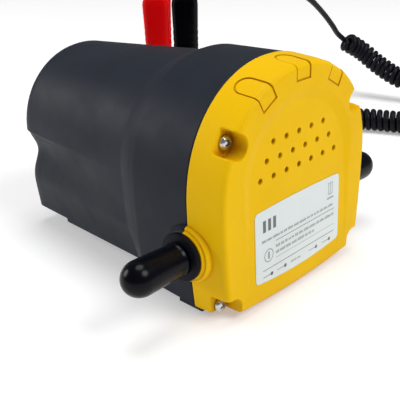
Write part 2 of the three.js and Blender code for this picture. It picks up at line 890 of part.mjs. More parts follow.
const wirePoints = {
  red: [
    [131.4, 142.3, 124.6],
    [120, 149.4, 131.6],
    [110.4, 157.8, 135.6],
    [103.2, 166.4, 133],
    [99, 171.2, 125],
    [96.7, 170.1, 115],
    [95.5, 168.95, 108.5],
    [94.3, 167.75, 101],
  ],
  black: [
    [131.4, 138.7, 124.2],
    [123.6, 142.2, 127.6],
    [117.2, 149.4, 129.6],
    [113, 155.6, 127],
    [110.6, 158.4, 121.5],
    [109, 157.3, 115],
    [107.85, 156.15, 108.5],
    [106.6, 154.95, 101],
  ],
};

function splitter() {
  const start = new THREE.Vector3(...splitterStart);
  const end = new THREE.Vector3(...splitterEnd);
  const long = start.distanceTo(end);
  const profile = turned([
    [0, 0],
    [3.1, 0],
    [3.4, 2],
    [3.6, long * 0.5],
    [4, long - 2],
    [3.6, long],
    [0, long],
  ], 20).scale(1, 1, 0.8);
  const turn = new THREE.Quaternion().setFromUnitVectors(
    new THREE.Vector3(0, 1, 0), end.clone().sub(start).normalize());
  return profile.applyQuaternion(turn).translate(...splitterStart);
}

// ---------------------------------------------------------------- battery clips

// A clip stands on its jaws. In its own frame the hinge pin lies along X and the levers open along Y.
const pinHeight = 46;
const leverWidth = 12;
const leverLine = [
  [4.9, 0.8],
  [8.2, 3.2],
  [9.7, 8],
  [9.4, 13.5],
  [7.2, 21],
  [5.4, 30],
  [5.2, 44],
  [6.2, 52],
  [11.2, 68],
  [17.4, 90],
  [21, 103],
];

// Strip of even thickness along a line in y and z, `width` wide along X.
function strip(line, thickness, width) {
  const edge = (offset) => line.map(([y, z], i) => {
    const before = line[Math.max(0, i - 1)];
    const after = line[Math.min(line.length - 1, i + 1)];
    const along = new THREE.Vector2(after[0] - before[0], after[1] - before[1]).normalize();
    return new THREE.Vector2(y + along.y * offset, z - along.x * offset);
  });
  const shape = new THREE.Shape([...edge(0), ...edge(thickness).reverse()]);
  const geometry = new THREE.ExtrudeGeometry(shape, { depth: width, bevelEnabled: false });
  // the shape's own x and y become y and z, and its depth runs along X
  const turn = new THREE.Matrix4().makeBasis(
    new THREE.Vector3(0, 1, 0), new THREE.Vector3(0, 0, 1), new THREE.Vector3(1, 0, 0));
  return geometry.applyMatrix4(turn).translate(-width / 2, 0, 0);
}

function clipLever(side, earX) {
  const ears = [-1, 1].map((end) => {
    const x = end * earX;
    return joined(
      rodAlongX(4.2, x - 0.6, x + 0.6, 0, pinHeight, 16),
      box(x - 0.6, x + 0.6, 0, 6, pinHeight - 4, pinHeight + 4));
  });
  const blank = joined(strip(leverLine, 1.2, leverWidth + 2), ...ears);
  const lever = cut(blank, rodAlongX(1.8, -20, 20, 0, pinHeight, 16));
  return side < 0 ? mirroredInY(lever) : lever;
}

function mirroredInY(geometry) {
  geometry.scale(1, -1, 1);
  return turnedInsideOut(geometry);
}

function clipBoot(side, wired) {
  const handle = leverLine.filter(([, z]) => z > 40);
  const top = handle[handle.length - 1];
  const inner = strip([...handle, [top[0] + 0.55, top[1] + 2]], 1.2 + 2.6 * gap, leverWidth + 2 + 2 * gap);
  const line = [[7.6, 58], [10.7, 68], [17, 90], [23.4, 113.5]];
  const sleeve = strip(line.map(([y, z]) => [y - 2.4, z]), 6.6, 16.6);
  const hollow = inner.translate(0, -1.3 * gap, 0);
  const wireHole = tube([[0, 21.9, 101], [0, 24.4, 111.5], [0, 26.9, 121]], wireRadius + gap, 12, 4);
  const boot = wired ? cut(sleeve, hollow, wireHole) : cut(sleeve, hollow);
  return side < 0 ? mirroredInY(boot) : boot;
}

function clipPin() {
  return turned([
    [0, -8.4],
    [2.4, -8.4],
    [2.4, -7.7],
    [1.5, -7.7],
    [1.5, 7.7],
    [2.4, 7.7],
    [2.4, 8.4],
    [0, 8.4],
  ], 10).rotateZ(Math.PI / 2).translate(0, 0, pinHeight);
}

function clipSpring() {
  const barrel = turned([[1.9, -3.6], [3.3, -3.6], [3.3, 3.6], [1.9, 3.6]], 16)
    .rotateZ(Math.PI / 2).translate(0, 0, pinHeight);
  const legs = [-1, 1].map((side) => {
    const leg = box(-0.6, 0.6, 2, 3.2, 0, 12.5);
    return leg.rotateX(-side * 0.12).translate(side * 2.8, side < 0 ? -4.9 : -0.3, pinHeight);
  });
  return joined(barrel, ...legs);
}

// ---------------------------------------------------------------- the assembly

const pump = new THREE.Group();
pump.position.set(0, seamY, footHeight);

function add(name, geometry, look, parent = pump) {
  const mesh = new THREE.Mesh(geometry, look);
  mesh.name = name;
  parent.add(mesh);
  return mesh;
}

add("front_cover", frontCover(), yellowPlastic);
add("info_label", infoLabel(), labelFilm);
for (const [place, screw] of [["upper", upperScrew], ["lower", lowerScrew]]) {
  for (const [hand, side] of [["left", -1], ["right", 1]]) {
    const { radius, height, shank, length } = screwHead;
    add(`cover_screw_${place}_${hand}`, panScrew(radius, height, shank, length), brightSteel)
      .position.set(side * screw.x, -seatDepth - gap, screw.z);
  }
}

add("motor_housing", motorHousing(), darkPlastic);
for (const { name, x, y, top } of footPlaces) {
  add(name, rubberFoot(top), blackRubber).position.set(x, y, 0);
}

add("pump_body", pumpBody(), castAluminium);
const gasketBlank = plateBlank(chamberFront - 1.1, chamberFront - gap);
add("pump_gasket", cut(gasketBlank, chamber(-20, 0), ...plateHoles()), blackRubber);
add("pump_plate", cut(plateBlank(chamberFront - 5.4, chamberFront - 1.4), ...plateHoles()), castAluminium);
plateScrewPlaces.forEach(([x, z], i) => {
  add(`plate_screw_${i + 1}`, panScrew(2.6, 1.6, 1.3, 12, 8), darkSteel)
    .position.set(x, chamberFront - 5.4 - gap, z);
});
add("drive_gear", gear(motorZ, -Math.PI / 2, shaftRadius + gap), darkSteel);
add("idler_gear", gear(idlerZ, Math.PI / 2 + Math.PI / gearTeeth, shaftRadius + gap), darkSteel);
add("idler_pin", rodAlongY(shaftRadius, chamberFront + gap, 9.5, 0, idlerZ), brightSteel);
add("shaft_seal", ring(7, shaftRadius + gap, 7 + gap, bodyBack - gap), blackRubber);
for (const [hand, side] of [["left", -1], ["right", 1]]) {
  add(`port_nozzle_${hand}`, portNozzle(side), blackRubber);
  add(`port_cap_${hand}`, portCap(side), glossVinyl);
}

add("motor_shaft", rodAlongY(shaftRadius, chamberFront + gap, 101, 0, motorZ), brightSteel);
add("motor_front_bell", bell(bodyBack + gap, 18, bodyBack, 16.5), darkSteel);
add("front_bearing", ring(bearingRadius, shaftRadius + gap, bodyBack + gap, 16.2), brightSteel);
add("motor_can", ring(canRadius, 28.4, canStart, canEnd, 32), darkSteel);
add("motor_rear_bell", rearBell(), darkSteel);
add("rear_bearing", ring(bearingRadius, shaftRadius + gap, rearBearingY + gap, 98.6), brightSteel);
add("armature_core", slottedCore(), ironCore);
add("armature_winding", winding(), copper);
add("commutator", ring(commutatorRadius, shaftRadius + gap, 74, 86), copper);
for (const [hand, side] of [["left", -1], ["right", 1]]) {
  add(`magnet_${hand}`, magnet(side), ferrite);
  add(`brush_${hand}`, brushBlock(side, commutatorRadius + gap, 20, 0), carbon);
}

const rockerTilt = THREE.MathUtils.degToRad(8);
add("switch_body", switchBody(), blackRubber);
const rocker = add("switch_rocker", switchRocker(), redVinyl);
rocker.position.set(0, rockerPivotY, switchZ);
rocker.rotation.x = rockerTilt;
add("cable_gland", cableGland(), blackRubber);

add("cord_tail", tube(tailPoints, cordRadius, 8, 18), cordJacket);
add("curly_cord", tube(curlPoints, curlRadius, 10, 44), cordJacket);
add("cord_lead", tube(leadPoints, cordRadius, 8, 18), cordJacket);
add("lead_splitter", splitter(), glossVinyl);

for (const [colour, look] of [["red", redVinyl], ["black", glossVinyl]]) {
  add(`${colour}_wire`, tube(wirePoints[colour], wireRadius, 8, 14), look);
  const clip = new THREE.Group();
  clip.position.set(...clipPlaces[colour], 0.5 - footHeight);
  clip.rotation.z = clipTurn;
  pump.add(clip);
  add(`${colour}_clip_back_lever`, clipLever(1, 6.4), brightSteel, clip);
  add(`${colour}_clip_front_lever`, clipLever(-1, 4.6), brightSteel, clip);
  add(`${colour}_clip_back_boot`, clipBoot(1, true), look, clip);
  add(`${colour}_clip_front_boot`, clipBoot(-1, false), look, clip);
  add(`${colour}_clip_pin`, clipPin(), darkSteel, clip);
  add(`${colour}_clip_spring`, clipSpring(), darkSteel, clip);
}

export default pump;
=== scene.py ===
"""Looks of the fluid transfer pump: fine surfaces, materials, lead, studio and camera."""

import json
import math

import bmesh
import bpy
from mathutils import Matrix, Vector


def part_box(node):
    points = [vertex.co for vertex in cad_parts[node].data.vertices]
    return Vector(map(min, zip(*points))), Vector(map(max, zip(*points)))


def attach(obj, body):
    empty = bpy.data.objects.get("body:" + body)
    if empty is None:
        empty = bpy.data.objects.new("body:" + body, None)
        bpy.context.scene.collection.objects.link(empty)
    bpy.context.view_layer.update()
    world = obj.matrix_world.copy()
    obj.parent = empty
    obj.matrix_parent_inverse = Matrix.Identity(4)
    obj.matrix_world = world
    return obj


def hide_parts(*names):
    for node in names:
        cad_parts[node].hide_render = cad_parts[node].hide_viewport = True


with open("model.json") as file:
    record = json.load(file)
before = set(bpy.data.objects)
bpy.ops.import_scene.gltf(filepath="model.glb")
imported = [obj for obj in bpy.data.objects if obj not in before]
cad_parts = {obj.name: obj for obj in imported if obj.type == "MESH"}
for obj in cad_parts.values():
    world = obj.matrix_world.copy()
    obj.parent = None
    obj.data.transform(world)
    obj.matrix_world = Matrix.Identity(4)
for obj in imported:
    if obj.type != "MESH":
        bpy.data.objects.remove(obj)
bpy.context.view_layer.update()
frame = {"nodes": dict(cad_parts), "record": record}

# ---------------------------------------------------------------- driving dimensions, in millimetres
# The pump's own frame has y = 0 on the seam between cover and housing and z = 0 at the cover's corners.

FOOT = 3.5
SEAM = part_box("front_cover")[1][1] * 1000
GAP = 0.3

HALF_WIDTH = 53
ARCH_CENTRE = 51
ARCH_HEIGHT = 53.4
ARCH_POWER = 2.12
SIDE_FLARE = 3.3
CHIN_SAG = 2.9
COVER_DEPTH = 20.2
COVER_HEIGHT = ARCH_CENTRE + ARCH_HEIGHT
FACE_LEAN = 1.2
COVER_WALL = 2.7

SHOULDER = 34
REAR = 134
REAR_HALF_WIDTH = 41.2
REAR_ARCH_HEIGHT = 40.5
NECK_HALF_WIDTH = 50
NECK_ARCH_HEIGHT = 47.2
NECK_RUN = 11
REAR_CENTRE = 52
REAR_BOTTOM = 4.3
WAIST_DEPTH = 5
WAIST_Z = 40
CREASE_Z = 25
CREASE_SOFTNESS = 0.5
HOUSING_WALL = 3

PORT_Z = 28.1
PORT_BORE = 8.6
CAP_TIP = 88.9
GLAND_Z = 22
SWITCH_Z = 66

SIDES = ((-1, "left"), (1, "right"))
UPPER_SCREW = (40.4, 77)
UPPER_POCKET = (42, 77)
LOWER_SCREW = (44.5, 3.2)
SEAT = 10
GRILLE_PITCH = 9
GRILLE_ROWS = [(5, 73.1), (6, 65.5), (7, 57.8)]

CORD_RADIUS = 2.2
WIRE_RADIUS = 1.5
CURL_RADIUS = 8.3
CURL_PITCH = 4.75
CURL_Z = 8.5 - FOOT
CLIP_TURN = math.radians(-46)
CLIP_LIFT = 0.5 - FOOT
CLIP_PLACES = {"red": (78, 152), "black": (90.3, 139.2)}
PIN_Z = 46


def metres(x, y, z):
    """A point of the pump's own frame, in millimetres, as a point of the row frame in metres."""
    return Vector((x / 1000, (y + SEAM) / 1000, (z + FOOT) / 1000))


def add_object(name, data):
    """An object in the scene for a mesh, curve, light or camera."""
    thing = bpy.data.objects.new(name, data)
    bpy.context.collection.objects.link(thing)
    return thing


# ---------------------------------------------------------------- camera

CAMERA_AZIMUTH = math.radians(-45.99)
CAMERA_ELEVATION = math.radians(24.24)
CAMERA_ROLL = math.radians(-1.44)
CAMERA_PLACE = (-242.64, -191.24, 174.19)
CAMERA_LENS = 64.6


def make_camera():
    """The camera stands where the photographer did, turned a little about its own axis."""
    a, e, r = CAMERA_AZIMUTH, CAMERA_ELEVATION, CAMERA_ROLL
    back = Vector((math.sin(a) * math.cos(e), -math.cos(a) * math.cos(e), math.sin(e)))
    level = Vector((math.cos(a), math.sin(a), 0))
    upright = back.cross(level)
    right = level * math.cos(r) + upright * math.sin(r)
    up = upright * math.cos(r) - level * math.sin(r)
    data = bpy.data.cameras.new("camera")
    data.lens = CAMERA_LENS
    data.sensor_width = 36
    data.clip_start = 0.01
    data.clip_end = 20
    camera = add_object("camera", data)
    turn = Matrix((right, up, back)).transposed().to_4x4()
    camera.matrix_world = Matrix.Translation(metres(*CAMERA_PLACE)) @ turn
    bpy.context.scene.camera = camera


make_camera()

# ---------------------------------------------------------------- materials


def new_material(name, colour, roughness, metallic=0.0, coat=0.0, specular=0.5):
    """A principled material and its node tree, with even values set on the shader's own sockets."""
    material = bpy.data.materials.new(name)
    material.use_nodes = True
    shader = material.node_tree.nodes["Principled BSDF"]
    shader.inputs["Base Color"].default_value = (*colour, 1)
    shader.inputs["Roughness"].default_value = roughness
    shader.inputs["Metallic"].default_value = metallic
    shader.inputs["Coat Weight"].default_value = coat
    shader.inputs["Coat Roughness"].default_value = 0.1
    shader.inputs["Specular IOR Level"].default_value = specular
    material.diffuse_color = (*colour, 1)
    return material, material.node_tree, shader


def noise(tree, scale, detail=4.0, roughness=0.55, stretch=None):
    """Noise in object space; stretch squeezes it along the axes, as brushing or drawing does."""
    coordinates = tree.nodes.new("ShaderNodeTexCoord")
    texture = tree.nodes.new("ShaderNodeTexNoise")
    texture.inputs["Scale"].default_value = scale
    texture.inputs["Detail"].default_value = detail
    texture.inputs["Roughness"].default_value = roughness
    source = coordinates.outputs["Object"]
    if stretch:
        mapping = tree.nodes.new("ShaderNodeMapping")
        mapping.inputs["Scale"].default_value = stretch
        tree.links.new(source, mapping.inputs["Vector"])
        source = mapping.outputs["Vector"]
    tree.links.new(source, texture.inputs["Vector"])
    return texture.outputs["Fac"]


def vary_colour(tree, shader, factor, dark, light):
    """The base colour runs from dark to light with the factor."""
    ramp = tree.nodes.new("ShaderNodeValToRGB")
    ramp.color_ramp.elements[0].position = 0.3
    ramp.color_ramp.elements[1].position = 0.7
    ramp.color_ramp.elements[0].color = (*dark, 1)
    ramp.color_ramp.elements[1].color = (*light, 1)
    tree.links.new(factor, ramp.inputs["Fac"])
    tree.links.new(ramp.outputs["Color"], shader.inputs["Base Color"])


def vary_roughness(tree, shader, factor, low, high):
    """The roughness runs from low to high with the factor."""
    spread = tree.nodes.new("ShaderNodeMapRange")
    spread.inputs["From Min"].default_value = 0.3
    spread.inputs["From Max"].default_value = 0.7
    spread.inputs["To Min"].default_value = low
    spread.inputs["To Max"].default_value = high
    tree.links.new(factor, spread.inputs["Value"])
    tree.links.new(spread.outputs["Result"], shader.inputs["Roughness"])


def add_bump(tree, shader, height, distance, strength=1.0):
    """Surface relief of that height, in metres; a second call stacks on the first."""
    bump = tree.nodes.new("ShaderNodeBump")
    bump.inputs["Strength"].default_value = strength
    bump.inputs["Distance"].default_value = distance
    tree.links.new(height, bump.inputs["Height"])
    before = shader.inputs["Normal"].links
    if before:
        tree.links.new(before[0].from_socket, bump.inputs["Normal"])
    tree.links.new(bump.outputs["Normal"], shader.inputs["Normal"])


def moulded(name, dark, light, roughness, grain, grain_depth, coat=0.0, specular=0.5, waves=0.25):
    """Moulded plastic: slow colour drift, uneven gloss, faint flow waves and a fine grain."""
    middle = tuple((a + b) / 2 for a, b in zip(dark, light))
    material, tree, shader = new_material(name, middle, roughness, coat=coat, specular=specular)
    vary_colour(tree, shader, noise(tree, 22, 5), dark, light)
    vary_roughness(tree, shader, noise(tree, 60, 6), roughness - 0.06, roughness + 0.07)
    add_bump(tree, shader, noise(tree, 35, 2), 0.0004, waves)
    add_bump(tree, shader, noise(tree, grain, 3, 0.6), grain_depth)
    return material


def paint_hollow_shade(material, deep, reach):
    """Painted shade: the base colour darkens towards the deep colour in holes and corners, wherever ambient
    occlusion finds a hollow.
    """
    tree = material.node_tree
    base = tree.nodes["Principled BSDF"].inputs["Base Color"]
    openness = tree.nodes.new("ShaderNodeAmbientOcclusion")
    openness.samples = 6
    openness.inputs["Distance"].default_value = reach
    spread = tree.nodes.new("ShaderNodeMapRange")
    spread.inputs["From Min"].default_value = 0.15
    spread.inputs["From Max"].default_value = 0.8
    tree.links.new(openness.outputs["AO"], spread.inputs["Value"])
    blend = tree.nodes.new("ShaderNodeMix")
    blend.data_type = "RGBA"
    factor, shade_input, in_open = blend.inputs[0], blend.inputs[6], blend.inputs[7]
    # the deep colour is painted shade for the hollows
    shade_input.default_value = (*deep, 1)
    tree.links.new(spread.outputs["Result"], factor)
    tree.links.new(base.links[0].from_socket, in_open)
    tree.links.new(blend.outputs[2], base)


def metal(name, dark, light, roughness, scale, stretch=None, relief=0.00002):
    """Bare or plated metal with fine scratches or casting grain."""
    middle = tuple((a + b) / 2 for a, b in zip(dark, light))
    material, tree, shader = new_material(name, middle, roughness, metallic=1.0)
    factor = noise(tree, scale, 6, 0.6, stretch)
    vary_colour(tree, shader, factor, dark, light)
    vary_roughness(tree, shader, factor, roughness - 0.07, roughness + 0.09)
    add_bump(tree, shader, factor, relief)
    return material


LOOKS = {
    "yellow_plastic": moulded(
        "yellow_plastic", (0.80, 0.47, 0.002), (0.85, 0.51, 0.003), 0.46, 2600, 0.00001, specular=0.06),
    "dark_plastic": moulded(
        "dark_plastic", (0.0125, 0.0158, 0.0235), (0.0175, 0.0215, 0.0310), 0.5, 1500, 0.00005,
        specular=0.12, waves=0.08),
    "label_film": moulded(
        "label_film", (0.66, 0.72, 0.72), (0.71, 0.77, 0.77), 0.36, 3000, 0.000004, coat=0.1),
    "black_rubber": moulded(
        "black_rubber", (0.0025, 0.003, 0.006), (0.005, 0.006, 0.010), 0.42, 2000, 0.00002, specular=0.08),
    "gloss_vinyl": moulded(
        "gloss_vinyl", (0.0005, 0.0006, 0.002), (0.0010, 0.0012, 0.0034), 0.26, 500, 0.00001,
        specular=0.13, waves=0.1),
    "red_vinyl": moulded(
        "red_vinyl", (0.88, 0.001, 0.002), (0.94, 0.002, 0.004), 0.4, 900, 0.00001, specular=0.1),
    "cord_jacket": moulded(
        "cord_jacket", (0.003, 0.003, 0.005), (0.006, 0.006, 0.010), 0.4, 900, 0.00001, specular=0.12),
    "bright_steel": metal("bright_steel", (0.52, 0.53, 0.54), (0.66, 0.67, 0.67), 0.24, 900, (1, 1, 4)),
    "dark_steel": metal("dark_steel", (0.20, 0.21, 0.23), (0.32, 0.33, 0.35), 0.36, 700, (5, 1, 5)),
    "cast_aluminium": metal(
        "cast_aluminium", (0.40, 0.41, 0.42), (0.52, 0.53, 0.54), 0.5, 1100, None, 0.00006),
    "iron_core": metal("iron_core", (0.07, 0.08, 0.09), (0.12, 0.13, 0.14), 0.5, 900, (1, 12, 1)),
    "copper": metal("copper", (0.42, 0.14, 0.03), (0.55, 0.21, 0.06), 0.34, 1200, (1, 8, 1)),
    "ferrite": moulded("ferrite", (0.018, 0.018, 0.021), (0.032, 0.032, 0.035), 0.8, 1800, 0.00004),
    "carbon": moulded("carbon", (0.008, 0.008, 0.009), (0.018, 0.018, 0.019), 0.75, 1500, 0.00003),
}
# Painted shade: the yellow plastic turns deep orange in its pockets, pad grooves and holes.
paint_hollow_shade(LOOKS["yellow_plastic"], (0.50, 0.195, 0.001), 0.009)
INK = moulded("label_ink", (0.10, 0.11, 0.12), (0.16, 0.17, 0.18), 0.45, 2000, 0.000003)
SOFT_INK = moulded("label_ink_grey", (0.26, 0.28, 0.29), (0.34, 0.36, 0.37), 0.45, 2000, 0.000003)

# ---------------------------------------------------------------- mesh tools


def mesh_object(name, points, faces, look):
    """An object from points of the pump's own frame, with its normals facing out."""
    mesh = bpy.data.meshes.new(name)
    mesh.from_pydata([metres(*p) for p in points], [], faces)
    work = bmesh.new()
    work.from_mesh(mesh)
    bmesh.ops.remove_doubles(work, verts=work.verts, dist=1e-7)
    bmesh.ops.recalc_face_normals(work, faces=work.faces)
    work.to_mesh(mesh)
    work.free()
    mesh.materials.append(look)
    return add_object(name, mesh)


def bake(piece):
    """Applies a piece's modifiers and leaves it with a plain mesh."""
    graph = bpy.context.evaluated_depsgraph_get()
    made = bpy.data.meshes.new_from_object(piece.evaluated_get(graph), depsgraph=graph)
    old = piece.data
    piece.modifiers.clear()
    piece.data = made
    made.name = piece.name
    bpy.data.meshes.remove(old)
    return piece


def boolean(piece, operation, tools):
    """Joins, cuts or crosses a piece with helper solids, which are then deleted."""
    for tool in tools:
        step = piece.modifiers.new("boolean", "BOOLEAN")
        step.operation = operation
        step.solver = "MANIFOLD"
        step.object = tool
    bake(piece)
    for tool in tools:
        bpy.data.objects.remove(tool)
    return piece


def cut(piece, *tools):
    return boolean(piece, "DIFFERENCE", tools)


def join(piece, *tools):
    return boolean(piece, "UNION", tools)


def cross(piece, *tools):
    return boolean(piece, "INTERSECT", tools)


def soften(piece, voxel, rounds):
    """Remeshes a solid and smooths it, which rounds every edge as a mould does."""
    remesh = piece.modifiers.new("remesh", "REMESH")
    remesh.mode = "VOXEL"
    remesh.voxel_size = voxel / 1000
    smooth = piece.modifiers.new("smooth", "SMOOTH")
    smooth.factor = 0.5
    smooth.iterations = rounds
    return bake(piece)


def shade(piece, angle=30):
    """Smooth shading that breaks at edges sharper than the angle."""
    piece.data.polygons.foreach_set("use_smooth", [True] * len(piece.data.polygons))
    piece.data.set_sharp_from_angle(angle=math.radians(angle))
    return piece


def bevel(piece, width, segments=2, angle=35):
    """Rounds sharp edges, with normals that keep the flats flat."""
    step = piece.modifiers.new("bevel", "BEVEL")
    step.width = width / 1000
    step.segments = segments
    step.limit_method = "ANGLE"
    step.angle_limit = math.radians(angle)
    step.harden_normals = True
    return piece


def loft_mesh(sections):
    """Points and faces of a skin through sections with equal point counts, closed at both ends."""
    count = len(sections[0])
    points = [p for section in sections for p in section]
    faces = []
    for s in range(len(sections) - 1):
        for i in range(count):
            a = s * count + i
            b = s * count + (i + 1) % count
            faces.append((a, b, b + count, a + count))
    for start, section in ((0, sections[0]), ((len(sections) - 1) * count, sections[-1])):
        middle = tuple(sum(p[k] for p in section) / count for k in range(3))
        points.append(middle)
        faces += [(len(points) - 1, start + i, start + (i + 1) % count) for i in range(count)]
    return points, faces


def loft(name, sections, look):
    return mesh_object(name, *loft_mesh(sections), look)


def circle(radius, sides):
    """Points of a circle as (cosine part, sine part)."""
    turns = [2 * math.pi * i / sides for i in range(sides)]
    return [(radius * math.cos(t), radius * math.sin(t)) for t in turns]


def turned_mesh(profile, sides, place):
    """Points and faces of a turned body; place(distance, u, v) puts a point beside the axis."""
    points, rings, faces = [], [], []
    for radius, distance in profile:
        if radius < 1e-6:
            rings.append([len(points)] * sides)
            points.append(place(distance, 0, 0))
        else:
            rings.append(list(range(len(points), len(points) + sides)))
            points += [place(distance, u, v) for u, v in circle(radius, sides)]
    for first, second in zip(rings, rings[1:] + rings[:1]):
        for i in range(sides):
            j = (i + 1) % sides
            corners = list(dict.fromkeys((first[i], first[j], second[j], second[i])))
            if len(corners) > 2:
                faces.append(corners)
    return points, faces


def along_x(side, z):
    """Axis through the height z, with distances measured outwards on that side."""
    return lambda distance, u, v: (side * distance, u, z + v)


def along_y(x, z, y0=0.0):
    return lambda distance, u, v: (x + u, y0 + distance, z + v)


def along_z(x, y, z0=0.0):
    return lambda distance, u, v: (x + u, y + v, z0 + distance)


def turned(name, profile, sides, place, look):
    return mesh_object(name, *turned_mesh(profile, sides, place), look)


def rod(name, radius, start, end, place, look, sides=48):
    return turned(name, [(0, start), (radius, start), (radius, end), (0, end)], sides, place, look)


def block(name, low, high, look):
    """A box between two corners, for cutting or joining."""
    (x0, y0, z0), (x1, y1, z1) = low, high
    return loft(name, [[(x0, y0, z), (x1, y0, z), (x1, y1, z), (x0, y1, z)] for z in (z0, z1)], look)


def prism(name, outline, y0, y1, look):
    """An outline in x and z, drawn out along y."""
    return loft(name, [[(x, y, z) for x, z in outline] for y in (y0, y1)], look)


def arc(radius, start, end, steps):
    """Points of an arc between two angles in degrees."""
    turns = [math.radians(start + (end - start) * i / steps) for i in range(steps + 1)]
    return [(radius * math.cos(t), radius * math.sin(t)) for t in turns]


def swap(piece, body, slot, *nodes):
    """A piece stands for CAD nodes on a body, which are hidden; the slot argument is not used."""
    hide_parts(*nodes)
    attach(piece, body)
    return piece


# ---------------------------------------------------------------- outlines

ARCH_STEPS = 120
SIDE_STEPS = 36
BOTTOM_STEPS = 36


def arched_outline(width, centre, height, power, bottom, side_x, sag=0.0):
    """Closed outline with an arch, two sides that follow side_x(z) and a bottom edge that may bow."""
    outline = []
    for i in range(ARCH_STEPS + 1):
        angle = math.pi * i / ARCH_STEPS
        c, s = math.cos(angle), abs(math.sin(angle))
        x = math.copysign(abs(c) ** (2 / power) * width, c)
        outline.append((0 if 2 * i == ARCH_STEPS else x, centre + s ** (2 / power) * height))
    side = []
    for j in range(1, SIDE_STEPS + 1):
        z = centre + (bottom - centre) * j / SIDE_STEPS
        side.append((side_x(z), z))
    foot = side[-1][0]
    outline += [(-x, z) for x, z in side]
    for k in range(1, BOTTOM_STEPS):
        x = foot * (2 * k / BOTTOM_STEPS - 1)
        outline.append((x, bottom - sag * (1 - (x / foot) ** 2)))
    return outline + side[::-1]


def cover_outline(inset, sag=0.0):
    """The cover's outline shrunk by the inset, with sides that draw in towards the bottom."""
    width = HALF_WIDTH - inset

    def side_x(z):
        return width - SIDE_FLARE * ((ARCH_CENTRE - z) / ARCH_CENTRE) ** 2

    return arched_outline(width, ARCH_CENTRE, ARCH_HEIGHT - inset, ARCH_POWER, inset, side_x, sag)


def mix(a, b, t):
    return a + (b - a) * t


def ease(t, low, high):
    t = min(1, max(0, (t - low) / (high - low)))
    return t * t * (3 - 2 * t)


def rear_outline(y, inset):
    """Rear section of the housing: plain at the shoulder, waisted and narrower at the back."""
    t = min(1, max(0, (y - SHOULDER - 4) / (REAR - SHOULDER - 4)))
    width = mix(NECK_HALF_WIDTH, REAR_HALF_WIDTH, t) - inset
    waist = WAIST_DEPTH * ease(t, 0.05, 1)

    def side_x(z):
        low = max(0, (REAR_CENTRE - z) / (REAR_CENTRE - CREASE_Z))
        below_crease = math.log1p(math.exp((CREASE_Z - z) / CREASE_SOFTNESS)) * CREASE_SOFTNESS
        pinch = waist * math.exp(-(((z - WAIST_Z) / 9) ** 2))
        return width - mix(1.8, 0.9, t) * low**1.3 - mix(0.228, 0.068, t) * below_crease - pinch

    height = mix(NECK_ARCH_HEIGHT, REAR_ARCH_HEIGHT, t) - inset
    return arched_outline(width, REAR_CENTRE, height, mix(ARCH_POWER, 2.05, t), REAR_BOTTOM + inset, side_x)


def section(outline, y):
    """An outline as points, with y a number or a function of z."""
    return [(x, y(z) if callable(y) else y, z) for x, z in outline]


# ---------------------------------------------------------------- front cover

PANEL_SINK = 2
PANEL_FOOT = 6
PANEL_TOP = 90
PANEL_CENTRE = ARCH_CENTRE + 0.2
PAD_HALF = 5.1
PAD_INNER = 44.4
PAD_END = -4.6
POCKET_RADIUS = 5.6
SCREW_HOLE = 1.9


def face_y(z):
    return -COVER_DEPTH + FACE_LEAN * z / COVER_HEIGHT


def panel_y(z):
    return face_y(z) + PANEL_SINK * max(0, z - PANEL_FOOT) / (PANEL_TOP - PANEL_FOOT)


def cover_solid(skin, look):
    """The cover without its hollow, shrunk by skin."""
    middle = cover_outline(0.6 + skin, CHIN_SAG / 2)
    sections = [section(cover_outline(skin), 0), section(middle, -COVER_DEPTH / 2)]
    steps = 10
    for i in range(steps + 1):
        angle = math.pi / 2 * i / steps
        inset = 1.2 + 2.2 * (1 - math.cos(angle)) + skin
        rise = 3 * (1 - math.sin(angle)) + skin
        sections.append(section(cover_outline(inset, CHIN_SAG), lambda z, rise=rise: face_y(z) + rise))
    return loft("cover_solid", sections, look)


def panel_outline(radius, half_span):
    start = math.degrees(math.acos(half_span / radius))
    top = [(x, PANEL_CENTRE + z) for x, z in arc(radius, start, 180 - start, 80)]
    return top + [(-half_span, PANEL_FOOT), (half_span, PANEL_FOOT)]


def panel_cutter(look):
    outer = panel_outline(41, 39.5)
    inner = panel_outline(35.5, 35)
    return loft("panel_cutter", [
        section(outer, -COVER_DEPTH - 2),
        section(outer, lambda z: face_y(z) - 0.01),
        section(inner, lambda z: panel_y(z) + 0.02),
    ], look)


def pad_slot(degrees, shrink, look):
    """The block of a finger pad, which wraps from the face over the edge onto the arch."""
    half = PAD_HALF - shrink
    bend = PAD_END - PAD_HALF
    outline = [(-half, -COVER_DEPTH - 2), (half, -COVER_DEPTH - 2)]
    outline += [(x, bend + y) for x, y in arc(half, 0, 180, 24)]
    c, s = math.cos(math.radians(degrees)), math.sin(math.radians(degrees))
    sections = [
        [(x * c + radius * s, y, PANEL_CENTRE + radius * c - x * s) for x, y in outline]
        for radius in (PAD_INNER + shrink, 70)]
    return loft("pad_slot", sections, look)


def pad_cutters(degrees, look):
    """A shallow recess and a fine groove round its edge."""
    recess = cut(pad_slot(degrees, 0, look), cover_solid(0.25, look))
    groove = cut(pad_slot(degrees, 0, look), pad_slot(degrees, 0.8, look), cover_solid(0.7, look))
    return [recess, groove]


def upper_pocket(side, radius, y0, y1, look):
    """Slot for an upper screw: round inside, open along the radius of the arch."""
    turn = math.radians(58)
    outline = arc(radius, 180, 360, 24) + [(radius, 30), (-radius, 30)]
    x0, z0 = UPPER_POCKET
    placed = [
        (side * (x0 + x * math.cos(turn) + z * math.sin(turn)), z0 - x * math.sin(turn) + z * math.cos(turn))
        for x, z in outline]
    return prism("pocket", placed, y0, y1, look)


def lower_pocket(side, y0, y1, look):
    """Corner notch for a lower screw, open to the side and to the bottom."""
    inner, ceiling, rounding = 40.8, 9.5, 4.5
    corner = [(inner + rounding + x, ceiling - rounding + z) for x, z in arc(rounding, 90, 180, 10)]
    outline = [(60, -10), (60, ceiling)] + corner + [(inner, -10)]
    return prism("pocket", [(side * x, z) for x, z in outline], y0, y1, look)


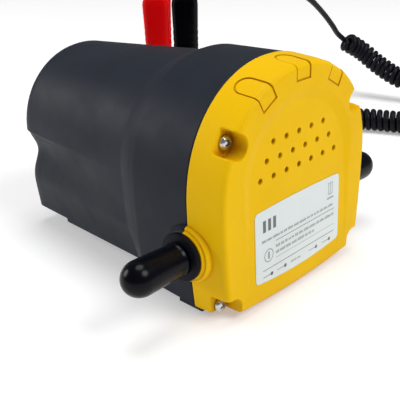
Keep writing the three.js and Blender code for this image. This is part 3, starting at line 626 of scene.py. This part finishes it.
def port_ring(side, y0, y1, look):
    """One half of the stepped ring round a port."""
    place = along_x(side, PORT_Z)
    profile = [(0, 48.5), (13, 48.5), (13, 53.5), (12.3, 54.5), (11.3, 54.5)]
    profile += [(11.1, 54.7), (11.1, 55.3), (10.7, 55.7), (0, 55.7)]
    ring = turned("port_ring", profile, 96, place, look)
    low, high = sorted((side * 40, side * 60))
    return cross(ring, block("half", (low, y0, 0), (high, y1, 60), look))


def port_holes(look):
    return [rod("port_hole", PORT_BORE, 40, 60, along_x(side, PORT_Z), look, 64) for side in (-1, 1)]


def make_cover():
    """Yellow cover: a softened skin, then its crisp pads, port rings, hollow and holes."""
    look = LOOKS["yellow_plastic"]
    cover = cover_solid(0, look)
    cutters = [panel_cutter(look)]
    for side in (-1, 1):
        cutters.append(upper_pocket(side, POCKET_RADIUS, -COVER_DEPTH - 2, -SEAT, look))
        cutters.append(lower_pocket(side, -COVER_DEPTH - 2, -SEAT, look))
    cut(cover, *cutters)
    soften(cover, 0.38, 3)
    for degrees in (-30, 0, 30):
        cut(cover, *pad_cutters(degrees, look))
    join(cover, *[port_ring(side, -20, 0.001, look) for side in (-1, 1)])
    hollow = [
        section(cover_outline(COVER_WALL), 3),
        section(cover_outline(COVER_WALL + 0.6), -COVER_DEPTH / 2),
        section(cover_outline(COVER_WALL + 1.6), lambda z: face_y(z) + 3.4),
    ]
    cavity = loft("cavity", hollow, look)
    keep = [upper_pocket(side, 8, -30, 5, look) for side in (-1, 1)]
    for side in (-1, 1):
        low, high = sorted((side * 38.4, side * 60))
        keep.append(block("keep", (low, -30, -10), (high, 5, 12), look))
    cut(cavity, *keep)
    holes = port_holes(look)
    hole = [(0, -4), (1.75, -4), (1.75, -0.12), (1.3, 0.3), (1.2, 6), (0, 6)]
    for count, z in GRILLE_ROWS:
        for i in range(count):
            x = (i - (count - 1) / 2) * GRILLE_PITCH
            holes.append(turned("hole", hole, 24, along_y(x, z, panel_y(z)), look))
    for side in (-1, 1):
        for x, z in (UPPER_SCREW, LOWER_SCREW):
            holes.append(rod("hole", SCREW_HOLE, -SEAT - 3, 2, along_y(side * x, z), look, 24))
    cut(cover, cavity, *holes)
    cover.name = "cover_shell"
    shade(cover, 40)
    swap(cover, "pump", "yellow_plastic", "front_cover")


make_cover()

# ---------------------------------------------------------------- label

LABEL_HALF = 31.5
LABEL_BOTTOM = 10
LABEL_TOP = 44.1
LABEL_FACE = 0.35


def label_y(z):
    return panel_y(z) - LABEL_FACE


def make_label():
    """Film with rounded corners, a slightly bowed top and bottom, and a turned-down edge."""
    corner, steps = 2.2, 10
    edge = LABEL_HALF - corner

    def rounded(x, z, start):
        return [(x + u, z + v) for u, v in arc(corner, start, start + 90, steps)]

    def bowed(z, bow, direction):
        xs = [direction * edge * (1 - 2 * i / 40) for i in range(1, 40)]
        return [(x, z + bow * (1 - (x / edge) ** 2)) for x in xs]

    outline = rounded(edge, LABEL_TOP - corner, 0) + bowed(LABEL_TOP, 0.6, 1)
    outline += rounded(-edge, LABEL_TOP - corner, 90) + rounded(-edge, LABEL_BOTTOM + corner, 180)
    outline += bowed(LABEL_BOTTOM, -1.8, -1) + rounded(edge, LABEL_BOTTOM + corner, 270)

    def shrunk(amount):
        middle = 27
        across, upright = 1 - amount / LABEL_HALF, 1 - amount / 17
        return [(x * across, middle + (z - middle) * upright) for x, z in outline]

    film = loft("label_film_sheet", [
        section(outline, lambda z: panel_y(z) - 0.02),
        section(outline, lambda z: label_y(z) + 0.12),
        section(shrunk(0.12), lambda z: label_y(z) + 0.03),
        section(shrunk(0.3), label_y),
    ], LOOKS["label_film"])
    shade(film, 40)
    swap(film, "pump", "label_film", "info_label")


def print_faces(shapes):
    """Points and faces of flat print just in front of the label."""
    points, faces = [], []
    for shape in shapes:
        base = len(points)
        points += [(x, label_y(z) - 0.03, z) for x, z in shape]
        faces.append(list(range(base, len(points))))
    return points, faces


def bar(x0, x1, z, height, tilt=0.0):
    half = height / 2
    return [(x0, z - half), (x1, z - half + tilt), (x1, z + half + tilt), (x0, z + half)]


def ring_shapes(x, z, radius, width, steps=28):
    """A ring of print as short quads."""
    shapes = []
    for i in range(steps):
        a, b = (2 * math.pi * k / steps for k in (i, i + 1))
        corners = ((radius, a), (radius, b), (radius - width, b), (radius - width, a))
        shapes.append([(x + r * math.cos(t), z + r * math.sin(t)) for r, t in corners])
    return shapes


def word_bars(x0, x1, z, height, seed):
    """A line of short upright strokes in groups, in place of words."""
    shapes, x, k = [], x0, seed
    while x < x1 - 1.5:
        k = (k * 37 + 11) % 97
        for letter in range(3 + k % 6):
            k = (k * 37 + 11) % 97
            rise = height * (0.8 + 0.4 * k / 97)
            if x < x1:
                shapes.append(bar(x, x + 0.46, z + (rise - height) / 2, rise))
            x += 0.62
        x += 0.6
    return shapes


def arrow(x0, x1, z):
    """A flow arrow with a round head."""
    head = [(x1 + 0.95 * math.cos(t * math.pi / 6), z + 0.95 * math.sin(t * math.pi / 6)) for t in range(12)]
    return [bar(x0, x1, z, 0.28), head]


def make_print():
    """Generic print: three plain blocks, a barred ring, strokes for words, rules and flow arrows."""
    dark = [bar(x, x + 2, 36.6, 5.6) for x in (-26.4, -22.9, -19.4)]
    for x0, x1 in ((-26.6, -20.6), (-16.8, -10.8), (7.2, 13.2), (18.0, 24.0)):
        dark += arrow(x0, x1, 12.1)
    dark += [bar(-17.6, 27.6, 27.2, 0.3), bar(-26.8, 27.6, 15.4, 0.3)]
    grey = word_bars(-27.2, 27.4, 29.6, 1.15, 5)
    grey += word_bars(-17.6, 27.6, 24.4, 1.3, 23)
    grey += word_bars(-17.6, 11.6, 21.4, 1.3, 61)
    grey += [bar(-17.6, 27.6, 18.9, 0.22)]
    grey += word_bars(-6.6, 2.8, 12.1, 0.9, 17)
    grey += ring_shapes(-22.6, 21.9, 3.2, 0.45) + [bar(-23.2, -22.0, 21.9, 3.4)]
    grey += [bar(21.6, 27.0, 33.6, 0.8)]
    grey += [bar(22.2, 26.4, 41.2, 0.35), bar(22.7, 25.9, 35.6, 0.35)]
    grey += [bar(22.6, 23.0, 38.4, 5.4), bar(24.1, 24.5, 38.4, 5.4), bar(25.6, 26.0, 38.4, 5.4)]
    for name, shapes, look in (("label_print_dark", dark, INK), ("label_print_grey", grey, SOFT_INK)):
        piece = mesh_object(name, *print_faces(shapes), look)
        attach(piece, "pump")


make_label()
make_print()

# ---------------------------------------------------------------- motor housing


def soft_ramp(x, corner):
    """Rises from 0 to 1 in a straight line with slightly rounded ends."""
    return corner * (math.log1p(math.exp(x / corner)) - math.log1p(math.exp((x - 1) / corner)))


def housing_sections():
    """Outer skin from the seam to the rear wall: a shallow draft, a sloped band and the waisted rear."""
    sections = [section(cover_outline(0.75), GAP), section(cover_outline(0.3), GAP + 0.45)]
    band_start = SHOULDER - 1.5
    for i in range(1, 7):
        sections.append(section(cover_outline(mix(0.3, 1.2, i / 6)), mix(GAP + 0.5, band_start, i / 6)))
    edge = cover_outline(1.2)
    steps = 34
    band_end = SHOULDER + NECK_RUN + 2
    for i in range(1, steps + 1):
        y = mix(band_start, band_end, i / steps)
        t = soft_ramp((y - SHOULDER) / NECK_RUN, 0.035)
        neck = rear_outline(y, 0)
        sections.append(section([(mix(a[0], b[0], t), mix(a[1], b[1], t)) for a, b in zip(edge, neck)], y))
    for i in range(1, 30):
        y = mix(band_end, REAR - 4, i / 29)
        sections.append(section(rear_outline(y, 0), y))
    for i in range(1, 9):
        angle = math.pi / 2 * i / 8
        y = REAR - 4 + 4 * math.sin(angle)
        sections.append(section(rear_outline(REAR, 3.2 * (1 - math.cos(angle))), y))
    return sections


def make_housing():
    look = LOOKS["dark_plastic"]
    shell = loft("housing_shell", housing_sections(), look)
    hollow = [section(cover_outline(HOUSING_WALL + 0.4), -1)]
    hollow.append(section(cover_outline(HOUSING_WALL + 1.4), SHOULDER - 5))
    hollow += [section(rear_outline(y, HOUSING_WALL), y) for y in (46, 60, 80, 100, 120, REAR - HOUSING_WALL)]
    cut(shell, loft("cavity", hollow, look))
    tools = []
    for side in (-1, 1):
        tools.append(port_ring(side, GAP, 20, look))
        low, high = sorted((side * 40, side * 49.2))
        tools.append(block("strip", (low, -4, -1.2), (high, 10, -GAP), look))
        tools.append(block("strip", (low, GAP, -1.2), (high, 10, 1.6), look))
    join(shell, *tools)
    holes = [
        block("switch_hole", (-6.8, REAR - 6, 56), (6.8, REAR + 2, 76), look),
        rod("gland_hole", 5.4, REAR - 6, REAR + 2, along_y(0, GLAND_Z), look),
        block("step", (-60, 106, 0), (60, 140, REAR_BOTTOM + 2.3), look),
    ]
    cut(shell, *holes, *port_holes(look))
    shade(shell, 35)
    swap(shell, "pump", "dark_plastic", "motor_housing")


make_housing()

# ---------------------------------------------------------------- ports and caps


def make_nozzle(side, hand):
    """Hose nozzle: a stepped root, a flange and three barbs."""
    profile = [(3.9, 36), (7, 36), (7, 43.3), (8.2, 43.3), (8.2, 56), (10.2, 56), (10.7, 56.15)]
    profile += [(10.9, 56.6), (10.9, 57.9), (10.6, 58.3), (10.1, 58.4), (5.4, 58.4), (5.2, 58.7)]
    for start in (62, 69, 76):
        profile += [(5.2, start - 0.2), (5.75, start + 0.1), (5.2, start + 6)]
    profile += [(5.2, 84), (4.9, 84.8), (4.6, 85), (3.9, 85)]
    nozzle = turned(f"nozzle_{hand}", profile, 72, along_x(side, PORT_Z), LOOKS["black_rubber"])
    shade(nozzle, 35)
    swap(nozzle, "pump", "black_rubber", f"port_nozzle_{hand}")


def make_cap(side, hand):
    """Dipped vinyl cap: a domed tip, a slightly waisted barrel and a rolled mouth."""
    dome = 8.5
    widest = CAP_TIP - dome
    steps = 18
    outer = [(0, CAP_TIP)]
    for i in range(1, steps + 1):
        angle = math.pi / 2 * i / steps
        outer.append((7.9 * math.sin(angle), widest + dome * math.cos(angle)))
    outer += [(7.75, 74), (7.45, 67), (7.2, 61.5), (7.25, 61)]
    outer += [(7.5, 60.5), (7.6, 59.8), (7.4, 59.1), (7.0, 58.8)]
    inner = [(6.1, 58.8), (6.4, widest), (4.6, CAP_TIP - 2.6), (0, CAP_TIP - 1.9)]
    cap = turned(f"cap_{hand}", outer + inner, 72, along_x(side, PORT_Z), LOOKS["gloss_vinyl"])
    shade(cap, 50)
    swap(cap, f"{hand}_cap", "gloss_vinyl", f"port_cap_{hand}")


for port_side, port_hand in SIDES:
    make_nozzle(port_side, port_hand)
    make_cap(port_side, port_hand)

# ---------------------------------------------------------------- screws, feet, gland


def screw(name, node, x, z, radius, height, shank, length, y0):
    """Pan-head screw with a cross recess and a threaded shank."""
    profile = [(0, -height)]
    for i in range(1, 9):
        angle = math.pi / 2 * i / 8
        rise = math.cos(angle) ** 0.7 if i < 8 else 0.12
        profile.append((radius * math.sin(angle) ** 0.8, -height * rise))
    profile += [(radius, -0.02), (radius - 0.1, 0), (shank, 0)]
    turns = int((length - 1) / 0.9)
    for i in range(turns):
        start = 0.6 + 0.9 * i
        profile += [(shank * 0.8, start), (shank, start + 0.45)]
    profile += [(shank * 0.8, length - 0.2), (0, length)]
    body = turned(name, profile, 32, along_y(x, z, y0), LOOKS["bright_steel"])
    slot_ends = [
        (y0 - height - 0.3, radius * 0.66, radius * 0.16),
        (y0 - height * 0.28, radius * 0.3, radius * 0.1),
    ]
    slots = []
    for turn in (20, 110):
        c, s = math.cos(math.radians(turn)), math.sin(math.radians(turn))
        sections = []
        for y, half, wide in slot_ends:
            corners = ((-half, -wide), (half, -wide), (half, wide), (-half, wide))
            sections.append([(x + a * c - b * s, y, z + a * s + b * c) for a, b in corners])
        slots.append(loft("slot", sections, LOOKS["bright_steel"]))
    cut(body, *slots)
    shade(body, 35)
    swap(body, "pump", "bright_steel", node)


def make_screws():
    for place, (x, z) in (("upper", UPPER_SCREW), ("lower", LOWER_SCREW)):
        for side, hand in SIDES:
            node = f"cover_screw_{place}_{hand}"
            screw(f"screw_{place}_{hand}", node, side * x, z, 3.3, 2.3, 1.6, 24, -SEAT - GAP)


def make_feet():
    """Rubber feet with a snap-in plug; the rear pair is taller, under the raised floor."""
    for end, y, top in (("front", 18, 0), ("rear", 98, REAR_BOTTOM)):
        for side, hand in SIDES:
            x = side * (34 if end == "front" else 25)
            roof = FOOT + top
            profile = [(0, 0.25), (2.6, 0.25), (2.9, 0), (5.3, 0), (5.8, 0.4), (6, 1)]
            profile += [(6, roof - GAP - 0.4), (5.7, roof - GAP), (2.3, roof - GAP)]
            profile += [(2.3, roof + 4), (3.4, roof + 4), (2.2, roof + 6), (0, roof + 6)]
            place = along_z(x, y, -FOOT)
            foot = turned(f"rubber_foot_{end}_{hand}", profile, 48, place, LOOKS["black_rubber"])
            shade(foot, 35)
            swap(foot, "pump", "black_rubber", f"foot_{end}_{hand}")


def make_gland():
    """Strain relief: a collar on the rear wall and a tapering ribbed sleeve."""
    profile = [(CORD_RADIUS + GAP, -6), (4.9, -6), (4.9, 0.3), (7.3, 0.3)]
    profile += [(7.6, 0.6), (7.6, 2.3), (7.2, 2.9), (5.7, 3.2)]
    for i in range(7):
        start = 4.2 + 2.5 * i
        radius = mix(5.3, 3.8, i / 6)
        profile += [(radius, start), (radius, start + 1.4)]
        profile += [(radius - 0.9, start + 1.6), (radius - 0.95, start + 2.3)]
    profile += [(3.5, 21.4), (3.2, 22), (CORD_RADIUS + GAP, 22)]
    gland = turned("strain_relief", profile, 40, along_y(0, GLAND_Z, REAR), LOOKS["black_rubber"])
    shade(gland, 35)
    swap(gland, "pump", "black_rubber", "cable_gland")
    return gland


make_screws()
make_feet()
gland = make_gland()

# ---------------------------------------------------------------- switch


def switch_block(name, half, y0, y1, z0, z1):
    """A box across the switch's middle, measured from the rear wall and from the switch's height."""
    low = (-half, REAR + y0, SWITCH_Z + z0)
    high = (half, REAR + y1, SWITCH_Z + z1)
    return block(name, low, high, LOOKS["black_rubber"])


def make_switch():
    """Switch body: a bezel and barrel with three contact tabs, and a well for the rocker."""
    bezel = switch_block("switch_bezel", 8.2, GAP, 2.3, -11.5, 11.5)
    barrel = switch_block("barrel", 6.4, -16, 1, -9.6, 9.6)
    tabs = [switch_block("tab", 0.4, -22, -15, z - 1.6, z + 1.6) for z in (-5, 0, 5)]
    join(bezel, barrel, *tabs)
    cut(bezel, switch_block("well", 5.2, -6, 4, -8.4, 8.4))
    bevel(bezel, 0.5, 3)
    bake(bezel)
    shade(bezel, 35)
    swap(bezel, "pump", "black_rubber", "switch_body")


def make_rocker():
    """A shallow V rocker, tilted to its off position, with a bar and a ring as marks."""
    pivot_y = REAR + 0.5
    c, s = math.cos(math.radians(8)), math.sin(math.radians(8))
    half = 7.9
    profile = [(-half, 0.5), (-half, 3.6)]
    profile += [(-half + 2 * half * i / 16, 1.9 + 1.7 * (abs(i - 8) / 8) ** 1.5) for i in range(1, 16)]
    profile += [(half, 3.6), (half, 0.5), (3, -3.4), (-3, -3.4)]

    def tilted(x, z, y):
        return (x, pivot_y + y * c - z * s, SWITCH_Z + y * s + z * c)

    rocker = loft("rocker", [[tilted(x, z, y) for z, y in profile] for x in (-4.8, 4.8)], LOOKS["red_vinyl"])
    bevel(rocker, 0.4, 3)
    bake(rocker)
    shade(rocker, 35)
    swap(rocker, "rocker", "red_vinyl", "switch_rocker")
    marks = [[tilted(x, z, 2.86) for x, z in ((-0.35, 3.4), (0.35, 3.4), (0.35, 6.2), (-0.35, 6.2))]]
    for shape in ring_shapes(0, -4.9, 1.5, 0.5):
        marks.append([tilted(x, z, 2.86) for x, z in shape])
    points = [p for mark in marks for p in mark]
    faces = [list(range(4 * i, 4 * i + 4)) for i in range(len(marks))]
    printed = mesh_object("rocker_marks", points, faces, LOOKS["label_film"])
    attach(printed, "rocker")


make_switch()
make_rocker()

# ---------------------------------------------------------------- lead

TAIL = [(x, REAR + y, GLAND_Z - drop) for x, y, drop in (
    (0, 4, 0), (0, 22, 0), (0.5, 31, 2), (3, 41, 9), (8, 49, 16), (15, 54, 17.5), (23, 53, 17.5),
    (29.5, 49.8, 17.5),
)]
CURL = [(x, y, CURL_Z + rise) for x, y, rise in (
    (30, 183.5, 0), (44, 177, 0), (62, 167, 0), (78, 152, 0), (90.3, 139.2, 0), (106, 124, 0),
    (128, 111, 0), (155, 106, 0), (182, 101.5, 0), (203, 93, 0), (216, 77, 0), (226, 53, 0),
    (236, 27, 0), (251, 3, 0), (276, -9, 0), (300, -1, 0), (313, 20, 0), (315, 47, 1), (309, 73, 4),
    (300, 96, 11), (297, 115, 20), (293, 131, 31), (281.6, 139.8, 39.8),
)]
LEAD = [
    (279.6, 140.4, 46.6), (270, 140.5, 53), (256, 137, 62.5), (235, 134, 77), (214, 131, 89),
    (192, 131, 99.5), (172, 133, 108), (154.3, 136, 115.6),
]
SPLITTER = [(154, 136.1, 115.7), (132, 140.5, 124)]
WIRES = {
    "red": [
        (131.4, 142.3, 124.6), (120, 149.4, 131.6), (110.4, 157.8, 135.6), (103.2, 166.4, 133),
        (99, 171.2, 125), (96.7, 170.1, 115), (95.5, 168.95, 108.5), (94.3, 167.75, 101),
    ],
    "black": [
        (131.4, 138.7, 124.2), (123.6, 142.2, 127.6), (117.2, 149.4, 129.6), (113, 155.6, 127),
        (110.6, 158.4, 121.5), (109, 157.3, 115), (107.85, 156.15, 108.5), (106.6, 154.95, 101),
    ],
}


def smooth_line(points, steps):
    """A smooth line through the points, at even spacing."""
    points = [Vector(p) for p in points]
    ends = [points[0] * 2 - points[1], points[-1] * 2 - points[-2]]
    padded = [ends[0]] + points + [ends[1]]
    dense = []
    for a, b, c, d in zip(padded, padded[1:], padded[2:], padded[3:]):
        knots = [0.0]
        for p, q in ((a, b), (b, c), (c, d)):
            knots.append(knots[-1] + (q - p).length ** 0.5)
        for i in range(24):
            t = mix(knots[1], knots[2], i / 24)

            def between(p, q, k0, k1):
                return p * ((k1 - t) / (k1 - k0)) + q * ((t - k0) / (k1 - k0))

            ab = between(a, b, knots[0], knots[1])
            bc = between(b, c, knots[1], knots[2])
            cd = between(c, d, knots[2], knots[3])
            abc = between(ab, bc, knots[0], knots[2])
            bcd = between(bc, cd, knots[1], knots[3])
            dense.append(between(abc, bcd, knots[1], knots[2]))
    dense.append(points[-1])
    lengths = [0.0]
    for p, q in zip(dense, dense[1:]):
        lengths.append(lengths[-1] + (q - p).length)
    even, k = [], 0
    for i in range(steps + 1):
        want = lengths[-1] * i / steps
        while k < len(dense) - 2 and lengths[k + 1] < want:
            k += 1
        span = lengths[k + 1] - lengths[k]
        even.append(dense[k].lerp(dense[k + 1], (want - lengths[k]) / span))
    return even, lengths[-1]


def curled(line, radius, turns, fade):
    """A helix about a line; its radius grows from nothing and back over the fade at each end."""
    points = []
    normal = Vector((0, 0, 1))
    last = len(line) - 1
    for i, middle in enumerate(line):
        along = (line[min(i + 1, last)] - line[max(i - 1, 0)]).normalized()
        normal = (normal - along * normal.dot(along)).normalized()
        side = along.cross(normal)
        turn = 2 * math.pi * turns * i / last
        reach = radius * ease(min(i, last - i) / last, 0, fade)
        points.append(middle + (normal * math.cos(turn) + side * math.sin(turn)) * reach)
    return points


def cord_curve(name, points, radius, look):
    """A curve of one open spline with a round section."""
    data = bpy.data.curves.new(name, "CURVE")
    data.dimensions = "3D"
    data.bevel_depth = radius / 1000
    data.bevel_resolution = 2
    data.use_fill_caps = True
    spline = data.splines.new("POLY")
    spline.points.add(len(points) - 1)
    for target, point in zip(spline.points, points):
        target.co = (*metres(*point), 1)
    spline.use_smooth = True
    data.materials.append(look)
    return add_object(name, data)


def run_length(points):
    """Length of a line in metres."""
    return sum((Vector(q) - Vector(p)).length for p, q in zip(points, points[1:])) / 1000


def make_splitter(look):
    """The moulded Y where the lead parts into its two cores."""
    start, end = Vector(SPLITTER[0]), Vector(SPLITTER[1])
    along = (end - start).normalized()
    flat = along.cross(Vector((0, 0, 1))).normalized()
    thick = flat.cross(along)
    long = (end - start).length
    sections = []
    for i in range(17):
        t = i / 16
        rounding = 1 - 0.18 * ease(t, 0.9, 1) - 0.1 * (1 - ease(t, 0, 0.06))
        wide = mix(2.9, 3.9, ease(t, 0, 0.8)) * rounding
        deep = mix(2.9, 2.7, t) * rounding
        middle = start + along * long * t
        sections.append([tuple(middle + flat * wide * u + thick * deep * v) for u, v in circle(1, 28)])
    piece = loft("lead_y_joint", sections, look)
    shade(piece, 50)
    swap(piece, "pump", "gloss_vinyl", "lead_splitter")
    return piece


# ---------------------------------------------------------------- battery clips

VINYL = {"red": "red_vinyl", "black": "gloss_vinyl"}
BOOT_LINE = [(7.6, 58), (10.7, 68), (17, 90), (23.4, 113.5)]


def clip_point(colour, x, y, z):
    """A point of a clip's own frame, where the pin lies along x and the levers open along y."""
    place = CLIP_PLACES[colour]
    c, s = math.cos(CLIP_TURN), math.sin(CLIP_TURN)
    return (place[0] + x * c - y * s, place[1] + x * s + y * c, z + CLIP_LIFT)


def boot_section(colour, side, middle, across, width, depth, sides=32):
    """A rounded oblong across the handle at one height."""
    ring = []
    for i in range(sides):
        angle = 2 * math.pi * i / sides
        c, s = math.cos(angle), math.sin(angle)
        u = math.copysign(abs(c) ** 0.55, c) * width
        v = math.copysign(abs(s) ** 0.7, s) * depth
        ring.append(clip_point(colour, u, side * (middle[0] + across[0] * v), middle[1] + across[1] * v))
    return ring


def boot_line_at(t):
    """Place on the boot's middle line and the direction across it."""
    spans = len(BOOT_LINE) - 1
    k = min(int(t * spans), spans - 1)
    a, b = BOOT_LINE[k], BOOT_LINE[k + 1]
    f = t * spans - k
    long = math.hypot(b[0] - a[0], b[1] - a[1])
    across = ((b[1] - a[1]) / long, -(b[0] - a[0]) / long)
    return (mix(a[0], b[0], f) + 0.85, mix(a[1], b[1], f)), across


def make_boot(colour, side, hand, body):
    """Dipped vinyl sleeve with a rolled mouth, shallow grip ribs and a rounded tip."""
    sections = []
    steps = 44
    for i in range(steps + 1):
        t = i / steps
        middle, across = boot_line_at(t)
        mouth = 1 + 0.05 * math.exp(-((t / 0.035) ** 2))
        tip = math.sqrt(max(0.0, 1 - max(0.0, (t - 0.9) / 0.1) ** 2)) * 0.7 + 0.3
        rib = 1 + 0.018 * math.sin(2 * math.pi * 7 * (t - 0.25) / 0.45) * (1 if 0.25 < t < 0.7 else 0)
        waist = 1 - 0.06 * math.sin(math.pi * t)
        width = 8.2 * waist * mouth * rib * tip
        depth = 3.3 * mouth * rib * tip
        sections.append(boot_section(colour, side, middle, across, width, depth))
    boot = loft(f"{colour}_boot_{hand}", sections, LOOKS[VINYL[colour]])
    shade(boot, 55)
    swap(boot, body, VINYL[colour], f"{colour}_clip_{hand}_boot")
    return boot


def make_spring(colour):
    """Torsion spring: its turns and back leg stay still, and its front leg moves with the front lever."""
    turns = 4
    coil = 2.7
    wire = 0.6
    half = 2.9
    leg_spread = 4.1
    leg_top = PIN_Z + 12
    front = [clip_point(colour, -half, -leg_spread, leg_top), clip_point(colour, -half, -coil, PIN_Z)]
    leg = cord_curve(f"{colour}_spring_leg", front, wire, LOOKS["dark_steel"])
    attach(leg, f"{colour}_lever")
    line = []
    steps = turns * 20
    for i in range(steps + 1):
        angle = math.pi + 2 * math.pi * (turns + 0.5) * i / steps
        x = -half + 2 * half * i / steps
        line.append(clip_point(colour, x, coil * math.cos(angle), PIN_Z - coil * math.sin(angle)))
    line += [clip_point(colour, half, coil, PIN_Z + 1.5), clip_point(colour, half, leg_spread, leg_top)]
    spring = cord_curve(f"{colour}_spring", line, wire, LOOKS["dark_steel"])
    return swap(spring, "pump", "dark_steel", f"{colour}_clip_spring")


def make_clip(colour):
    """The spring and boots of a clip; returns the pieces that its core holds."""
    make_spring(colour)
    made = [
        make_boot(colour, 1, "back", "pump"),
        make_boot(colour, -1, "front", f"{colour}_lever"),
    ]
    return made + [f"{colour}_clip_back_lever", f"{colour}_clip_front_lever", f"{colour}_clip_pin"]


def make_lead():
    """The whole lead: tail, curls and plain end as one cord, then a core to each clip."""
    splitter = make_splitter(LOOKS["gloss_vinyl"])
    clips = {colour: make_clip(colour) for colour in ("red", "black")}
    tail = smooth_line(TAIL, 60)[0]
    span = smooth_line(CURL, 200)[1]
    turns = round(span / CURL_PITCH)
    turn_steps = 16
    line = smooth_line(CURL, turns * turn_steps)[0]
    curls = curled(line, CURL_RADIUS - CORD_RADIUS, turns, 0.004)
    end = smooth_line(LEAD, 60)[0]
    route = tail + curls + end
    lead = cord_curve("curly_lead", route, CORD_RADIUS, LOOKS["cord_jacket"])
    swap(lead, "pump", "cord_jacket", "cord_tail", "curly_cord", "cord_lead")
    wires = []
    for colour, vinyl in VINYL.items():
        points = smooth_line(WIRES[colour], 40)[0]
        wire = cord_curve(f"{colour}_core", points, WIRE_RADIUS, LOOKS[vinyl])
        swap(wire, "pump", vinyl, f"{colour}_wire")
        wires.append((wire, points, clips[colour]))
    round(run_length(route), 2)
    for wire, points, clip in wires:
        tuple(metres(*points[0]))
        round(run_length(points), 3)


make_lead()

# ---------------------------------------------------------------- carried-over pieces

CARRIED_NODES = [
    "idler_pin", "motor_shaft", "front_bearing", "rear_bearing", "motor_can", "motor_front_bell",
    "motor_rear_bell", "shaft_seal", "commutator", "pump_body", "pump_plate", "pump_gasket",
    "drive_gear", "idler_gear",
    "armature_core", "armature_winding", "magnet_left", "magnet_right", "brush_left", "brush_right",
    "plate_screw_1", "plate_screw_2", "plate_screw_3", "plate_screw_4",
    "red_clip_back_lever", "red_clip_front_lever", "black_clip_back_lever", "black_clip_front_lever",
    "red_clip_pin", "black_clip_pin"]
slot_of = {entry["node"]: entry["material_slot"] for entry in frame["record"]["subparts"]}
for node in CARRIED_NODES:
    carried = frame["nodes"][node]
    carried.data.materials.clear()
    carried.data.materials.append(LOOKS[slot_of[node]])

# ---------------------------------------------------------------- studio

FLOOR_GLOW = 0.34
WORLD_FILL = 0.21


def make_floor():
    """A wide pale floor, lit a little from within so that it stays as pale as a light table."""
    material, tree, shader = new_material("floor", (0.72, 0.72, 0.72), 0.8, specular=0.1)
    shader.inputs["Emission Color"].default_value = (1, 1, 1, 1)
    shader.inputs["Emission Strength"].default_value = FLOOR_GLOW
    vary_roughness(tree, shader, noise(tree, 3), 0.55, 0.65)
    data = bpy.data.meshes.new("floor")
    reach = 6
    corners = [(-reach, -reach, 0), (reach, -reach, 0), (reach, reach, 0), (-reach, reach, 0)]
    data.from_pydata(corners, [], [(0, 1, 2, 3)])
    data.materials.append(material)
    floor = add_object("floor", data)


def area_light(name, place, target, size, power):
    """A round soft light at a place in metres, turned towards the target."""
    data = bpy.data.lights.new(name, "AREA")
    data.shape = "DISK"
    data.size = size
    data.energy = power
    light = add_object(name, data)
    light.location = place
    light.rotation_mode = "QUATERNION"
    light.rotation_quaternion = (Vector(target) - Vector(place)).to_track_quat("-Z", "Y")


def make_studio():
    """Floor, even fill from the world, and three soft lights."""
    make_floor()
    world = bpy.data.worlds.new("studio")
    world.use_nodes = True
    background = world.node_tree.nodes["Background"]
    background.inputs["Color"].default_value = (1, 1, 1, 1)
    background.inputs["Strength"].default_value = WORLD_FILL
    bpy.context.scene.world = world
    area_light("key", (0.2, -1.1, 1.25), (0, 0, 0.05), 0.8, 14)
    area_light("top", (0.3, 0.1, 2.4), (0, 0.02, 0.05), 1.4, 26)
    area_light("rear_left", (-0.75, 1.1, 0.6), (0, 0, 0.05), 0.7, 9)
    bpy.context.scene.view_settings.view_transform = "Standard"


make_studio()
